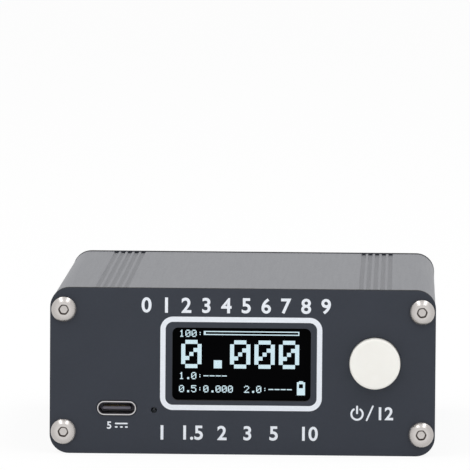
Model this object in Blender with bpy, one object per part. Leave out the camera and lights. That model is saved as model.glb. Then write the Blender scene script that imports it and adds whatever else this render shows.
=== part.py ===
"""Inline SWR and power meter, built the way it comes apart on a bench.

Lengths are metres and +Z is up. The front panel faces -Y and the two coaxial
sockets face +Y. The origin is the centre of the case's underside.
"""

import math

import bmesh
import bpy
from mathutils import Vector, geometry

MM = 0.001

# Fits: the clearance that seated pieces keep, and a cutter's overrun
GAP = 0.3 * MM
OVERRUN = 0.5 * MM

# Case: two halves of one aluminium extrusion between two flat panels
CASE_WIDTH = 88.0 * MM
CASE_HEIGHT = 38.0 * MM
PANEL_SPACING = 100.0 * MM
PANEL_THICKNESS = 1.6 * MM
CORNER_RADIUS = 4.4 * MM
WALL = 1.6 * MM
TONGUE_DEPTH = 1.7 * MM
GROOVE_COUNT = 5
GROOVE_PITCH = 1.63 * MM
GROOVE_WIDTH = 1.0 * MM
GROOVE_DEPTH = 0.5 * MM
GROOVE_INSET = 10.63 * MM

# Screw channels in the extrusion's corners, open to the inside
PANEL_SCREW_INSET_X = 3.0 * MM
PANEL_SCREW_INSET_Z = 5.0 * MM
CHANNEL_SIDE_LIP = 0.8 * MM
CHANNEL_END_LIP = 0.5 * MM
CHANNEL_SLIT = 1.2 * MM

# M3 screws with button heads and hex sockets, and their nuts
SCREW_RADIUS = 1.2 * MM
SCREW_HOLE_RADIUS = 1.7 * MM
SCREW_HEAD_RADIUS = 2.8 * MM
SCREW_HEAD_TOP_RADIUS = 1.45 * MM
SCREW_HEAD_HEIGHT = 1.65 * MM
SCREW_HEAD_RIM = 0.3 * MM
HEX_KEY = 2.0 * MM
HEX_DEPTH = 1.2 * MM
PANEL_SCREW_LENGTH = 8.0 * MM
NUT_KEY = 5.5 * MM
NUT_THICKNESS = 2.4 * MM
NUT_SCREW_TIP = 0.9 * MM

# Main board, held in the lower half's slots
BOARD_THICKNESS = 1.2 * MM
SLOT_RIB_HEIGHT = 1.0 * MM
SLOT_RIB_DEPTH = 1.5 * MM
BOARD_TONGUE_MARGIN = 1.2 * MM
BOARD_TONGUE_LIP = 0.1 * MM
BOARD_TONGUE_CLEARANCE = 0.6 * MM

# Display window, measured from the front panel's centre
WINDOW_LAP = 1.45 * MM
WINDOW_HEIGHT = 16.67 * MM
WINDOW_CORNER = 1.3 * MM
WINDOW_SHIFT = -0.25 * MM
WINDOW_RAISE = 1.69 * MM

# OLED module: glass, its board and the pins to the display board
GLASS_SIDE_MARGIN = 0.45 * MM
GLASS_HEIGHT = 23.0 * MM
GLASS_THICKNESS = 1.6 * MM
GLASS_DROP = 0.7 * MM
MODULE_WIDTH = 35.4 * MM
MODULE_THICKNESS = 1.2 * MM
MODULE_MARGIN = 0.65 * MM
PIN_COUNT = 4
PIN_PITCH = 2.54 * MM
PIN_WIDTH = 0.64 * MM
PIN_HOLE_RADIUS = 0.75 * MM
PIN_ROW_INSET = 1.55 * MM
PIN_TIP = 0.8 * MM
HEADER_WIDTH = 2.5 * MM

# Display board, upright behind the module
DISPLAY_BOARD_THICKNESS = 1.6 * MM
DISPLAY_BOARD_OVERLAP = 0.75 * MM
DISPLAY_BOARD_MARGIN = 0.5 * MM
DISPLAY_BOARD_LIFT = 1.4 * MM
BOARD_HEADER_PINS = 5
BOARD_HEADER_X = 8.0 * MM
BOARD_HEADER_LENGTH = 2.5 * MM

# Power button and its tactile switch, on one axis
BUTTON_SHIFT = 0.26 * MM
BUTTON_RAISE = 2.3 * MM
BUTTON_RADIUS = 5.78 * MM
BUTTON_PROUD = 3.0 * MM
BUTTON_EDGE = 0.5 * MM
BUTTON_TOP = 1.2 * MM
BUTTON_WALL = 1.0 * MM
BUTTON_FLANGE = 0.8 * MM
BUTTON_FLANGE_LIP = 0.4 * MM
BUTTON_BOSS_RADIUS = 3.6 * MM
STEM_SQUARE = 3.8 * MM
STEM_SQUARE_LENGTH = 3.4 * MM
STEM_RADIUS = 3.2 * MM
STEM_SHOULDER = 1.25 * MM
STEM_FLANGE_RADIUS = 4.0 * MM
STEM_FLANGE_THICKNESS = 0.4 * MM
SWITCH_SIZE = 12.0 * MM
SWITCH_HEIGHT = 3.0 * MM
SWITCH_COVER_THICKNESS = 0.4 * MM
SWITCH_POCKET_RADIUS = 4.6 * MM
SWITCH_POCKET_DEPTH = 1.6 * MM
DOME_RISE = 0.45 * MM
DOME_SHEET = 0.1 * MM
DOME_CROWN_RADIUS = 0.6 * MM

# USB-C charging socket and its light, on the main board's tongue
USB_LIGHT_SPACING = 8.52 * MM
USB_WIDTH = 8.94 * MM
USB_HEIGHT = 3.26 * MM
USB_SHEET = 0.3 * MM
USB_LENGTH = 7.7 * MM
USB_PROUD = 0.3 * MM
USB_BACK_THICKNESS = 1.5 * MM
USB_TONGUE_WIDTH = 6.5 * MM
USB_TONGUE_THICKNESS = 0.7 * MM
USB_TONGUE_RECESS = 1.0 * MM
LIGHT_SIDE_CLEARANCE = 1.43 * MM
LIGHT_HOLE_RADIUS = 0.65 * MM
LIGHT_WIDTH = 1.6 * MM
LIGHT_DEPTH = 1.2 * MM
LIGHT_HEIGHT = 2.5 * MM
LIGHT_SHOULDER = 0.7 * MM

# Chips on the main board
PROCESSOR_SIZE = 7.0 * MM
PROCESSOR_THICKNESS = 1.4 * MM
PROCESSOR_X = -28.0 * MM
PROCESSOR_Y = 5.0 * MM
CHARGER_WIDTH = 3.9 * MM
CHARGER_LENGTH = 4.9 * MM
CHARGER_THICKNESS = 1.5 * MM
CHARGER_SETBACK = 4.0 * MM

# Battery, its leads, and the plug and socket that they end in
BATTERY_WIDTH = 34.0 * MM
BATTERY_LENGTH = 50.0 * MM
BATTERY_THICKNESS = 8.0 * MM
BATTERY_CORNER = 2.5 * MM
BATTERY_CENTRE_Y = -5.0 * MM
LEAD_RADIUS = 0.6 * MM
LEAD_PITCH = 2.0 * MM
LEAD_START_X = 11.5 * MM
LEAD_DIP = 5.0 * MM
LEAD_SPREAD = 2.5 * MM
PLUG_WIDTH = 5.8 * MM
PLUG_LENGTH = 6.0 * MM
PLUG_HEIGHT = 4.6 * MM
PLUG_SHIFT = 2.7 * MM
PLUG_SETBACK = 2.0 * MM
PLUG_SOCKET_LENGTH = 4.2 * MM
PLUG_SOCKET_HEIGHT = 5.2 * MM

# Coaxial sockets on the rear panel, with four flange screws each
SOCKET_ACROSS_SHARE = 5 / 11
SOCKET_FLANGE = 25.4 * MM
SOCKET_FLANGE_THICKNESS = 1.6 * MM
SOCKET_SCREW_OFFSET = 9.1 * MM
SOCKET_BARREL_RADIUS = 7.9 * MM
SOCKET_BARREL_LENGTH = 12.7 * MM
SOCKET_CHAMFER = 0.5 * MM
SOCKET_BORE_RADIUS = 6.1 * MM
SOCKET_BOSS_RADIUS = 6.0 * MM
SOCKET_BOSS_BORE_RADIUS = 4.6 * MM
SOCKET_BOSS_DEPTH = 4.4 * MM
SOCKET_STEP = 0.6 * MM
SOCKET_NOTCH_WIDTH = 1.4 * MM
SOCKET_NOTCH_DEPTH = 1.0 * MM
SOCKET_RECESS = 1.8 * MM
INSULATOR_TAIL = 0.6 * MM
CONTACT_RADIUS = 2.6 * MM
CONTACT_BORE_RADIUS = 2.0 * MM
CONTACT_BORE_DEPTH = 11.0 * MM
CONTACT_TAIL_RADIUS = 2.0 * MM
CONTACT_TAIL = 4.2 * MM
CONTACT_SHOULDER = 2.5 * MM

# Directional coupler: two wound ring cores with the line passing through
CORE_OUTER_RADIUS = 6.35 * MM
CORE_INNER_RADIUS = 3.575 * MM
CORE_THICKNESS = 4.83 * MM
CORE_CHAMFER = 0.7 * MM
CORE_SPREAD = 7.0 * MM
CORE_SETBACK = 6.7 * MM
WIRE_RADIUS = 0.25 * MM
WIRE_LIFT = 0.45 * MM
TURNS = 12
POINTS_PER_TURN = 10
WOUND_ANGLE = 300.0
WINDING_SQUARENESS = 4.0
LEAST_WIRE_GAP = 0.4 * MM
LINE_RADIUS = 1.25 * MM
LINE_STRAIGHT = 11.0 * MM
LINE_START_SHARE = 0.75
LINE_END_SHARE = 0.45
LINE_BEND_STEPS = 8

# Facets on round pieces
CORNER_STEPS = 5
CHANNEL_STEPS = 12
HOLE_SIDES = 16
SMALL_HOLE_SIDES = 8
SCREW_SIDES = 12
SCREW_DOME_STEPS = 2
BUTTON_EDGE_STEPS = 2
TURNED_SIDES = 24
CORE_SIDES = 20
NUT_SIDES = 12
LEAD_STEPS = 12
DOME_STEPS = 3

# Places that follow from the sizes above
HALF_WIDTH = CASE_WIDTH / 2
MID_HEIGHT = CASE_HEIGHT / 2
FRONT_INNER = -PANEL_SPACING / 2
FRONT_FACE = FRONT_INNER - PANEL_THICKNESS
REAR_INNER = PANEL_SPACING / 2
REAR_FACE = REAR_INNER + PANEL_THICKNESS
INNER_X = HALF_WIDTH - WALL
CHANNEL_RADIUS = SCREW_RADIUS + GAP
CHANNEL_X = HALF_WIDTH - PANEL_SCREW_INSET_X
BLOCK_X = CHANNEL_X - CHANNEL_RADIUS - CHANNEL_SIDE_LIP
BLOCK_Z = PANEL_SCREW_INSET_Z + CHANNEL_RADIUS + CHANNEL_END_LIP
BOARD_BOTTOM = BLOCK_Z + GAP
BOARD_TOP = BOARD_BOTTOM + BOARD_THICKNESS
ON_BOARD = BOARD_TOP + GAP

GLASS_WIDTH = MODULE_WIDTH - 2 * GLASS_SIDE_MARGIN
WINDOW_WIDTH = GLASS_WIDTH - 2 * WINDOW_LAP
WINDOW_Z = MID_HEIGHT + WINDOW_RAISE
GLASS_BACK = FRONT_INNER + GAP + GLASS_THICKNESS
MODULE_FRONT = GLASS_BACK + GAP
MODULE_BACK = MODULE_FRONT + MODULE_THICKNESS
MODULE_TOP = CASE_HEIGHT - WALL - MODULE_MARGIN
MODULE_BOTTOM = WALL + MODULE_MARGIN
MODULE_LEFT = WINDOW_SHIFT - MODULE_WIDTH / 2
MODULE_RIGHT = WINDOW_SHIFT + MODULE_WIDTH / 2
PIN_ROW_Z = MODULE_TOP - PIN_ROW_INSET

BUTTON_X = (MODULE_RIGHT + INNER_X) / 2 + BUTTON_SHIFT
BUTTON_Z = MID_HEIGHT + BUTTON_RAISE
BUTTON_FRONT = FRONT_FACE - BUTTON_PROUD
BUTTON_BACK = FRONT_INNER + GAP + BUTTON_FLANGE
STEM_FRONT = BUTTON_BACK + GAP - STEM_SQUARE_LENGTH
STEM_FLANGE_FRONT = BUTTON_BACK + GAP + STEM_SHOULDER
SWITCH_FRONT = STEM_FLANGE_FRONT
SWITCH_BACK = SWITCH_FRONT + SWITCH_HEIGHT
DISPLAY_BOARD_FRONT = SWITCH_BACK + GAP
DISPLAY_BOARD_BACK = DISPLAY_BOARD_FRONT + DISPLAY_BOARD_THICKNESS
DISPLAY_BOARD_LEFT = MODULE_LEFT - DISPLAY_BOARD_OVERLAP
BEHIND_DISPLAY = DISPLAY_BOARD_BACK + GAP
BOARD_HEADER_Z = ON_BOARD + HEADER_WIDTH / 2

LIGHT_X = MODULE_LEFT - LIGHT_SIDE_CLEARANCE - LIGHT_WIDTH / 2
LIGHT_Z = ON_BOARD + LIGHT_HEIGHT / 2
USB_X = LIGHT_X - USB_LIGHT_SPACING
USB_Z = ON_BOARD + USB_HEIGHT / 2
USB_FRONT = FRONT_FACE - USB_PROUD
USB_REAR = USB_FRONT + USB_LENGTH

BATTERY_FRONT = BATTERY_CENTRE_Y - BATTERY_LENGTH / 2
PLUG_X = (BATTERY_WIDTH / 2 + INNER_X) / 2 - PLUG_SHIFT
PLUG_FRONT = BATTERY_FRONT + PLUG_SETBACK
PLUG_REAR = PLUG_FRONT + PLUG_LENGTH

SOCKET_SPREAD = HALF_WIDTH * SOCKET_ACROSS_SHARE
FLANGE_INNER = REAR_FACE + GAP
FLANGE_OUTER = FLANGE_INNER + SOCKET_FLANGE_THICKNESS
SOCKET_MOUTH = FLANGE_OUTER + SOCKET_BARREL_LENGTH
BOSS_END = FLANGE_INNER - SOCKET_BOSS_DEPTH
BORE_STEP = FLANGE_INNER + SOCKET_STEP
INSULATOR_FACE = SOCKET_MOUTH - SOCKET_RECESS
INSULATOR_REAR = BOSS_END - INSULATOR_TAIL
CONTACT_STEP = BORE_STEP - CONTACT_SHOULDER
CONTACT_REAR = INSULATOR_REAR - CONTACT_TAIL
NUT_FRONT = REAR_INNER - GAP
NUT_REAR = NUT_FRONT - NUT_THICKNESS
FLANGE_SCREW_END = NUT_REAR - NUT_SCREW_TIP
BOARD_REAR = FLANGE_SCREW_END - GAP

LINE_END_Y = CONTACT_REAR - GAP
CORE_Y = CONTACT_REAR - CORE_SETBACK
WIRE_OFFSET = WIRE_LIFT + WIRE_RADIUS
CORE_Z = ON_BOARD + CORE_OUTER_RADIUS + WIRE_OFFSET + WIRE_RADIUS

# Materials: linear colour, roughness and metallic of each finish
MATERIALS = {
    "anodised_aluminium": ((0.065, 0.066, 0.070), 0.50, 1.0),
    "black_solder_mask": ((0.050, 0.055, 0.066), 0.55, 0.0),
    "stainless_steel": ((0.56, 0.55, 0.55), 0.25, 1.0),
    "display_glass": ((0.008, 0.008, 0.010), 0.10, 0.0),
    "blue_circuit_board": ((0.020, 0.070, 0.180), 0.45, 0.0),
    "green_circuit_board": ((0.020, 0.130, 0.060), 0.45, 0.0),
    "black_plastic": ((0.020, 0.020, 0.021), 0.50, 0.0),
    "gold_plate": ((0.80, 0.58, 0.24), 0.25, 1.0),
    "white_abs": ((0.840, 0.820, 0.760), 0.40, 0.0),
    "tinned_steel": ((0.55, 0.54, 0.52), 0.30, 1.0),
    "grey_nylon": ((0.110, 0.115, 0.130), 0.50, 0.0),
    "clear_epoxy": ((0.80, 0.80, 0.75), 0.15, 0.0),
    "battery_foil": ((0.42, 0.43, 0.44), 0.35, 0.6),
    "red_insulation": ((0.45, 0.010, 0.010), 0.45, 0.0),
    "black_insulation": ((0.012, 0.012, 0.012), 0.45, 0.0),
    "white_nylon": ((0.78, 0.77, 0.72), 0.50, 0.0),
    "ferrite": ((0.060, 0.060, 0.065), 0.60, 0.0),
    "enamelled_copper": ((0.45, 0.14, 0.050), 0.25, 1.0),
    "copper": ((0.62, 0.28, 0.17), 0.30, 1.0),
    "nickel_plate": ((0.58, 0.56, 0.52), 0.22, 1.0),
    "ptfe": ((0.86, 0.86, 0.84), 0.45, 0.0),
}


def material(name):
    """The named finish, made once as a Principled material."""
    if name in bpy.data.materials:
        return bpy.data.materials[name]
    colour, roughness, metallic = MATERIALS[name]
    finish = bpy.data.materials.new(name)
    finish.use_nodes = True
    shader = finish.node_tree.nodes["Principled BSDF"]
    shader.inputs["Base Color"].default_value = (*colour, 1.0)
    shader.inputs["Roughness"].default_value = roughness
    shader.inputs["Metallic"].default_value = metallic
    return finish


def add_object(name, bm, finish, smooth=False):
    """Turn a finished bmesh into a named object with its own material slot."""
    bmesh.ops.recalc_face_normals(bm, faces=bm.faces[:])
    mesh = bpy.data.meshes.new(name)
    bm.to_mesh(mesh)
    bm.free()
    if smooth:
        mesh.shade_smooth()
        mesh.set_sharp_from_angle(angle=math.radians(40.0))
    mesh.materials.append(material(finish))
    obj = bpy.data.objects.new(name, mesh)
    bpy.context.collection.objects.link(obj)
    return obj


def arc(centre, radius, start, end, steps):
    """Points on an arc between two angles in degrees, both ends included."""
    points = []
    for i in range(steps + 1):
        angle = math.radians(start + (end - start) * i / steps)
        points.append((centre[0] + radius * math.cos(angle), centre[1] + radius * math.sin(angle)))
    return points


def circle(centre, radius, sides):
    """A closed ring of points, the first one not repeated."""
    return arc(centre, radius, 0.0, 360.0, sides)[:-1]


def rounded_rectangle(centre, width, height, radius):
    """Outline of a rectangle whose corners are arcs."""
    dx = width / 2 - radius
    dz = height / 2 - radius
    points = []
    for quarter, (sx, sz) in enumerate(((1, 1), (-1, 1), (-1, -1), (1, -1))):
        corner = (centre[0] + sx * dx, centre[1] + sz * dz)
        points += arc(corner, radius, 90.0 * quarter, 90.0 * (quarter + 1), CORNER_STEPS)
    return points


def stadium(centre, width, height):
    """A slot's outline: two half circles joined by straights."""
    radius = height / 2
    dx = width / 2 - radius
    right = arc((centre[0] + dx, centre[1]), radius, -90.0, 90.0, CORNER_STEPS * 2)
    left = arc((centre[0] - dx, centre[1]), radius, 90.0, 270.0, CORNER_STEPS * 2)
    return right + left


def upright(u, v, w):
    """Outline in X and Z, thickness along Y."""
    return Vector((u, w, v))


def flat(u, v, w):
    """Outline in X and Y, thickness along Z."""
    return Vector((u, v, w))


def extruded(name, loops, low, high, lie, finish):
    """A plate or an extrusion: the first loop is its outline, the rest are holes."""
    bm = bmesh.new()
    for loop in loops:
        verts = [bm.verts.new(lie(u, v, low)) for u, v in loop]
        for start, end in zip(verts, verts[1:] + verts[:1]):
            bm.edges.new((start, end))
    bmesh.ops.triangle_fill(bm, use_beauty=True, edges=bm.edges[:])
    region = bmesh.ops.extrude_face_region(bm, geom=bm.faces[:])
    moved = [item for item in region["geom"] if isinstance(item, bmesh.types.BMVert)]
    bmesh.ops.translate(bm, verts=moved, vec=lie(0.0, 0.0, high - low))
    return add_object(name, bm, finish)


def box(name, low, high, finish):
    """A plain block between two corners."""
    outline = [(low[0], low[1]), (high[0], low[1]), (high[0], high[1]), (low[0], high[1])]
    return extruded(name, [outline], low[2], high[2], flat, finish)


def polygon(across_flats, corners, turn=0.0):
    """Radius of a regular polygon by angle, with a corner at the turn angle."""
    half = math.pi / corners

    def radius_at(angle):
        return across_flats / 2 / math.cos((angle - math.radians(turn)) % (2 * half) - half)

    return radius_at


def turned(name, axis, profile, sides, finish, hollow=False):
    """A piece on an axis along Y, from (y, radius or polygon) pairs.

    A hollow piece's last ring meets its first one. Any other piece is closed
    across its first and last rings.
    """
    bm = bmesh.new()
    rings = []
    for y, shape in profile:
        ring = []
        for i in range(sides):
            angle = 2 * math.pi * i / sides
            radius = shape(angle) if callable(shape) else shape
            x = axis[0] + radius * math.cos(angle)
            z = axis[1] + radius * math.sin(angle)
            ring.append(bm.verts.new((x, y, z)))
        rings.append(ring)
    pairs = list(zip(rings, rings[1:]))
    if hollow:
        pairs.append((rings[-1], rings[0]))
    else:
        bm.faces.new(rings[0])
        bm.faces.new(rings[-1])
    for near, far in pairs:
        for i in range(sides):
            j = (i + 1) % sides
            bm.faces.new((near[i], near[j], far[j], far[i]))
    return add_object(name, bm, finish, smooth=True)


def combined(target, tools, operation):
    """Join tools to a target or cut them from it, and keep the target alone."""
    for tool in tools:
        modifier = target.modifiers.new(operation.title(), "BOOLEAN")
        modifier.operation = operation
        modifier.solver = "EXACT"
        modifier.object = tool
    evaluated = target.evaluated_get(bpy.context.evaluated_depsgraph_get())
    mesh = bpy.data.meshes.new_from_object(evaluated)
    target.modifiers.clear()
    target.data = mesh
    mesh.name = target.name
    for tool in tools:
        bpy.data.objects.remove(tool)
    return target


def tube(name, points, radius, finish):
    """A wire of round section along the given points, with flat ends."""
    curve = bpy.data.curves.new(name, "CURVE")
    curve.dimensions = "3D"
    curve.bevel_depth = radius
    curve.bevel_resolution = 1
    curve.use_fill_caps = True
    spline = curve.splines.new("POLY")
    spline.points.add(len(points) - 1)
    for target, point in zip(spline.points, points):
        target.co = (*point, 1.0)
    curve.materials.append(material(finish))
    obj = bpy.data.objects.new(name, curve)
    bpy.context.collection.objects.link(obj)
    return obj


def section_side(has_tongue):
    """One side of the extrusion: width against distance from its closed face."""
    points = []
    for i in reversed(range(GROOVE_COUNT)):
        centre = HALF_WIDTH - GROOVE_INSET - i * GROOVE_PITCH
        near = centre - GROOVE_WIDTH / 2
        far = centre + GROOVE_WIDTH / 2
        points += [(near, 0.0), (near, GROOVE_DEPTH), (far, GROOVE_DEPTH), (far, 0.0)]
    corner = (HALF_WIDTH - CORNER_RADIUS, CORNER_RADIUS)
    points += arc(corner, CORNER_RADIUS, -90.0, 0.0, CORNER_STEPS)

    edge = MID_HEIGHT - GAP / 2
    tongue_outer = INNER_X + (WALL - GAP) / 2
    if has_tongue:
        step_x = tongue_outer
        step_v = MID_HEIGHT + TONGUE_DEPTH
    else:
        step_x = tongue_outer + GAP
        step_v = MID_HEIGHT - TONGUE_DEPTH - GAP
    points += [(HALF_WIDTH, edge), (step_x, edge), (step_x, step_v), (INNER_X, step_v)]

    rib_x = INNER_X - SLOT_RIB_DEPTH
    rib_top = ON_BOARD + SLOT_RIB_HEIGHT
    points += [(INNER_X, rib_top), (rib_x, rib_top), (rib_x, ON_BOARD), (INNER_X, ON_BOARD)]

    slit = math.degrees(math.asin(CHANNEL_SLIT / 2 / CHANNEL_RADIUS))
    channel = (CHANNEL_X, PANEL_SCREW_INSET_Z)
    points += [(INNER_X, BLOCK_Z), (BLOCK_X, BLOCK_Z)]
    points += [(BLOCK_X, PANEL_SCREW_INSET_Z + CHANNEL_SLIT / 2)]
    points += arc(channel, CHANNEL_RADIUS, 180.0 - slit, slit - 180.0, CHANNEL_STEPS)
    points += [(BLOCK_X, PANEL_SCREW_INSET_Z - CHANNEL_SLIT / 2), (BLOCK_X, WALL)]
    return points


def make_shells():
    """Both halves are the same extrusion, one turned over onto the other."""
    right = section_side(has_tongue=False)
    left = [(-x, v) for x, v in reversed(section_side(has_tongue=True))]
    section = right + left
    turned_over = [(-x, CASE_HEIGHT - v) for x, v in section]
    ends = (FRONT_INNER + GAP, REAR_INNER - GAP)
    extruded("lower_shell", [section], *ends, upright, "anodised_aluminium")
    extruded("upper_shell", [turned_over], *ends, upright, "anodised_aluminium")


def panel_screw_places():
    """Axes of the four corner screws, the same on both panels."""
    high = CASE_HEIGHT - PANEL_SCREW_INSET_Z
    low = PANEL_SCREW_INSET_Z
    return [(-CHANNEL_X, high), (CHANNEL_X, high), (-CHANNEL_X, low), (CHANNEL_X, low)]


def square_places(centre, step):
    """Four places at the corners of a square, half a side from its centre."""
    return [(centre[0] + sx * step, centre[1] + sz * step) for sz in (1, -1) for sx in (-1, 1)]


def screw(name, axis, seat, outward, length):
    """Button head screw whose head stands on a seat and points outward."""
    profile = [
        (SCREW_HEAD_HEIGHT - HEX_DEPTH, polygon(HEX_KEY, 6)),
        (SCREW_HEAD_HEIGHT, polygon(HEX_KEY, 6)),
    ]
    for i in range(SCREW_DOME_STEPS + 1):
        angle = math.pi / 2 * i / SCREW_DOME_STEPS
        spread = (SCREW_HEAD_RADIUS - SCREW_HEAD_TOP_RADIUS) * math.sin(angle)
        rise = (SCREW_HEAD_HEIGHT - SCREW_HEAD_RIM) * math.cos(angle)
        profile.append((SCREW_HEAD_RIM + rise, SCREW_HEAD_TOP_RADIUS + spread))
    profile += [(0.0, SCREW_HEAD_RADIUS), (0.0, SCREW_RADIUS), (-length, SCREW_RADIUS)]
    placed = [(seat + outward * out, shape) for out, shape in profile]
    turned(name, axis, placed, SCREW_SIDES, "stainless_steel")


def make_panels():
    """Front and rear panels, and the corner screws that clamp the halves."""
    middle = (0.0, MID_HEIGHT)
    outline = rounded_rectangle(middle, CASE_WIDTH, CASE_HEIGHT, CORNER_RADIUS)
    corner_holes = [circle(place, SCREW_HOLE_RADIUS, HOLE_SIDES) for place in panel_screw_places()]

    window = rounded_rectangle((WINDOW_SHIFT, WINDOW_Z), WINDOW_WIDTH, WINDOW_HEIGHT, WINDOW_CORNER)
    button_hole = circle((BUTTON_X, BUTTON_Z), BUTTON_RADIUS + GAP, TURNED_SIDES)
    usb_slot = stadium((USB_X, USB_Z), USB_WIDTH + 2 * GAP, USB_HEIGHT + 2 * GAP)
    light_hole = circle((LIGHT_X, LIGHT_Z), LIGHT_HOLE_RADIUS, SMALL_HOLE_SIDES)
    front = [outline, window, button_hole, usb_slot, light_hole] + corner_holes
    extruded("front_panel", front, FRONT_FACE, FRONT_INNER, upright, "black_solder_mask")

    rear = [outline] + corner_holes
    for socket_x in (-SOCKET_SPREAD, SOCKET_SPREAD):
        rear.append(circle((socket_x, MID_HEIGHT), SOCKET_BOSS_RADIUS + GAP, TURNED_SIDES))
        for place in square_places((socket_x, MID_HEIGHT), SOCKET_SCREW_OFFSET):
            rear.append(circle(place, SCREW_HOLE_RADIUS, HOLE_SIDES))
    extruded("rear_panel", rear, REAR_INNER, REAR_FACE, upright, "black_solder_mask")

    for i, place in enumerate(panel_screw_places(), start=1):
        screw(f"front_panel_screw_{i}", place, FRONT_FACE - GAP, -1, PANEL_SCREW_LENGTH)
        screw(f"rear_panel_screw_{i}", place, REAR_FACE + GAP, 1, PANEL_SCREW_LENGTH)


def pin_row(centre_x, count):
    """X of each pin in a header row."""
    return [centre_x + (i - (count - 1) / 2) * PIN_PITCH for i in range(count)]


def header(name, centre_x, count, z, body, pins, finish):
    """A pin strip: its plastic bar and the square pins through it, as one piece."""
    half = HEADER_WIDTH / 2
    half_bar = count * PIN_PITCH / 2
    low = (centre_x - half_bar, body[0], z - half)
    high = (centre_x + half_bar, body[1], z + half)
    bar = box(name, low, high, finish)
    tools = []
    for x in pin_row(centre_x, count):
        pin_low = (x - PIN_WIDTH / 2, pins[0], z - PIN_WIDTH / 2)
        pin_high = (x + PIN_WIDTH / 2, pins[1], z + PIN_WIDTH / 2)
        tools.append(box(name + "_pin", pin_low, pin_high, finish))
    combined(bar, tools, "UNION")


def make_display():
    """The OLED module behind the window, and the board that carries it."""
    glass = rounded_rectangle((WINDOW_SHIFT, MID_HEIGHT - GLASS_DROP), GLASS_WIDTH, GLASS_HEIGHT, GAP)
    extruded("oled_glass", [glass], FRONT_INNER + GAP, GLASS_BACK, upright, "display_glass")

    module_height = MODULE_TOP - MODULE_BOTTOM
    module = rounded_rectangle((WINDOW_SHIFT, MID_HEIGHT), MODULE_WIDTH, module_height, GAP)
    pin_xs = pin_row(WINDOW_SHIFT, PIN_COUNT)
    pin_holes = [circle((x, PIN_ROW_Z), PIN_HOLE_RADIUS, SMALL_HOLE_SIDES) for x in pin_xs]
    module_loops = [module] + pin_holes
    extruded("oled_module_board", module_loops, MODULE_FRONT, MODULE_BACK, upright, "blue_circuit_board")

    bar = (MODULE_BACK + GAP, DISPLAY_BOARD_FRONT - GAP)
    pins = (MODULE_FRONT - PIN_TIP, DISPLAY_BOARD_BACK + PIN_TIP)
    header("oled_header", WINDOW_SHIFT, PIN_COUNT, PIN_ROW_Z, bar, pins, "black_plastic")

    left = DISPLAY_BOARD_LEFT
    right = BLOCK_X - DISPLAY_BOARD_MARGIN
    low = WALL + DISPLAY_BOARD_LIFT
    high = MODULE_TOP - GAP
    outline = [(left, low), (right, low), (right, high), (left, high)]
    for x in pin_row(BOARD_HEADER_X, BOARD_HEADER_PINS):
        pin_holes.append(circle((x, BOARD_HEADER_Z), PIN_HOLE_RADIUS, SMALL_HOLE_SIDES))
    loops = [outline] + pin_holes
    span = (DISPLAY_BOARD_FRONT, DISPLAY_BOARD_BACK)
    extruded("display_board", loops, *span, upright, "green_circuit_board")

    bar = (BEHIND_DISPLAY, BEHIND_DISPLAY + BOARD_HEADER_LENGTH)
    pins = (DISPLAY_BOARD_FRONT - PIN_TIP, BEHIND_DISPLAY + BOARD_HEADER_LENGTH / 2)
    header("board_header", BOARD_HEADER_X, BOARD_HEADER_PINS, BOARD_HEADER_Z, bar, pins, "black_plastic")


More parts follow.
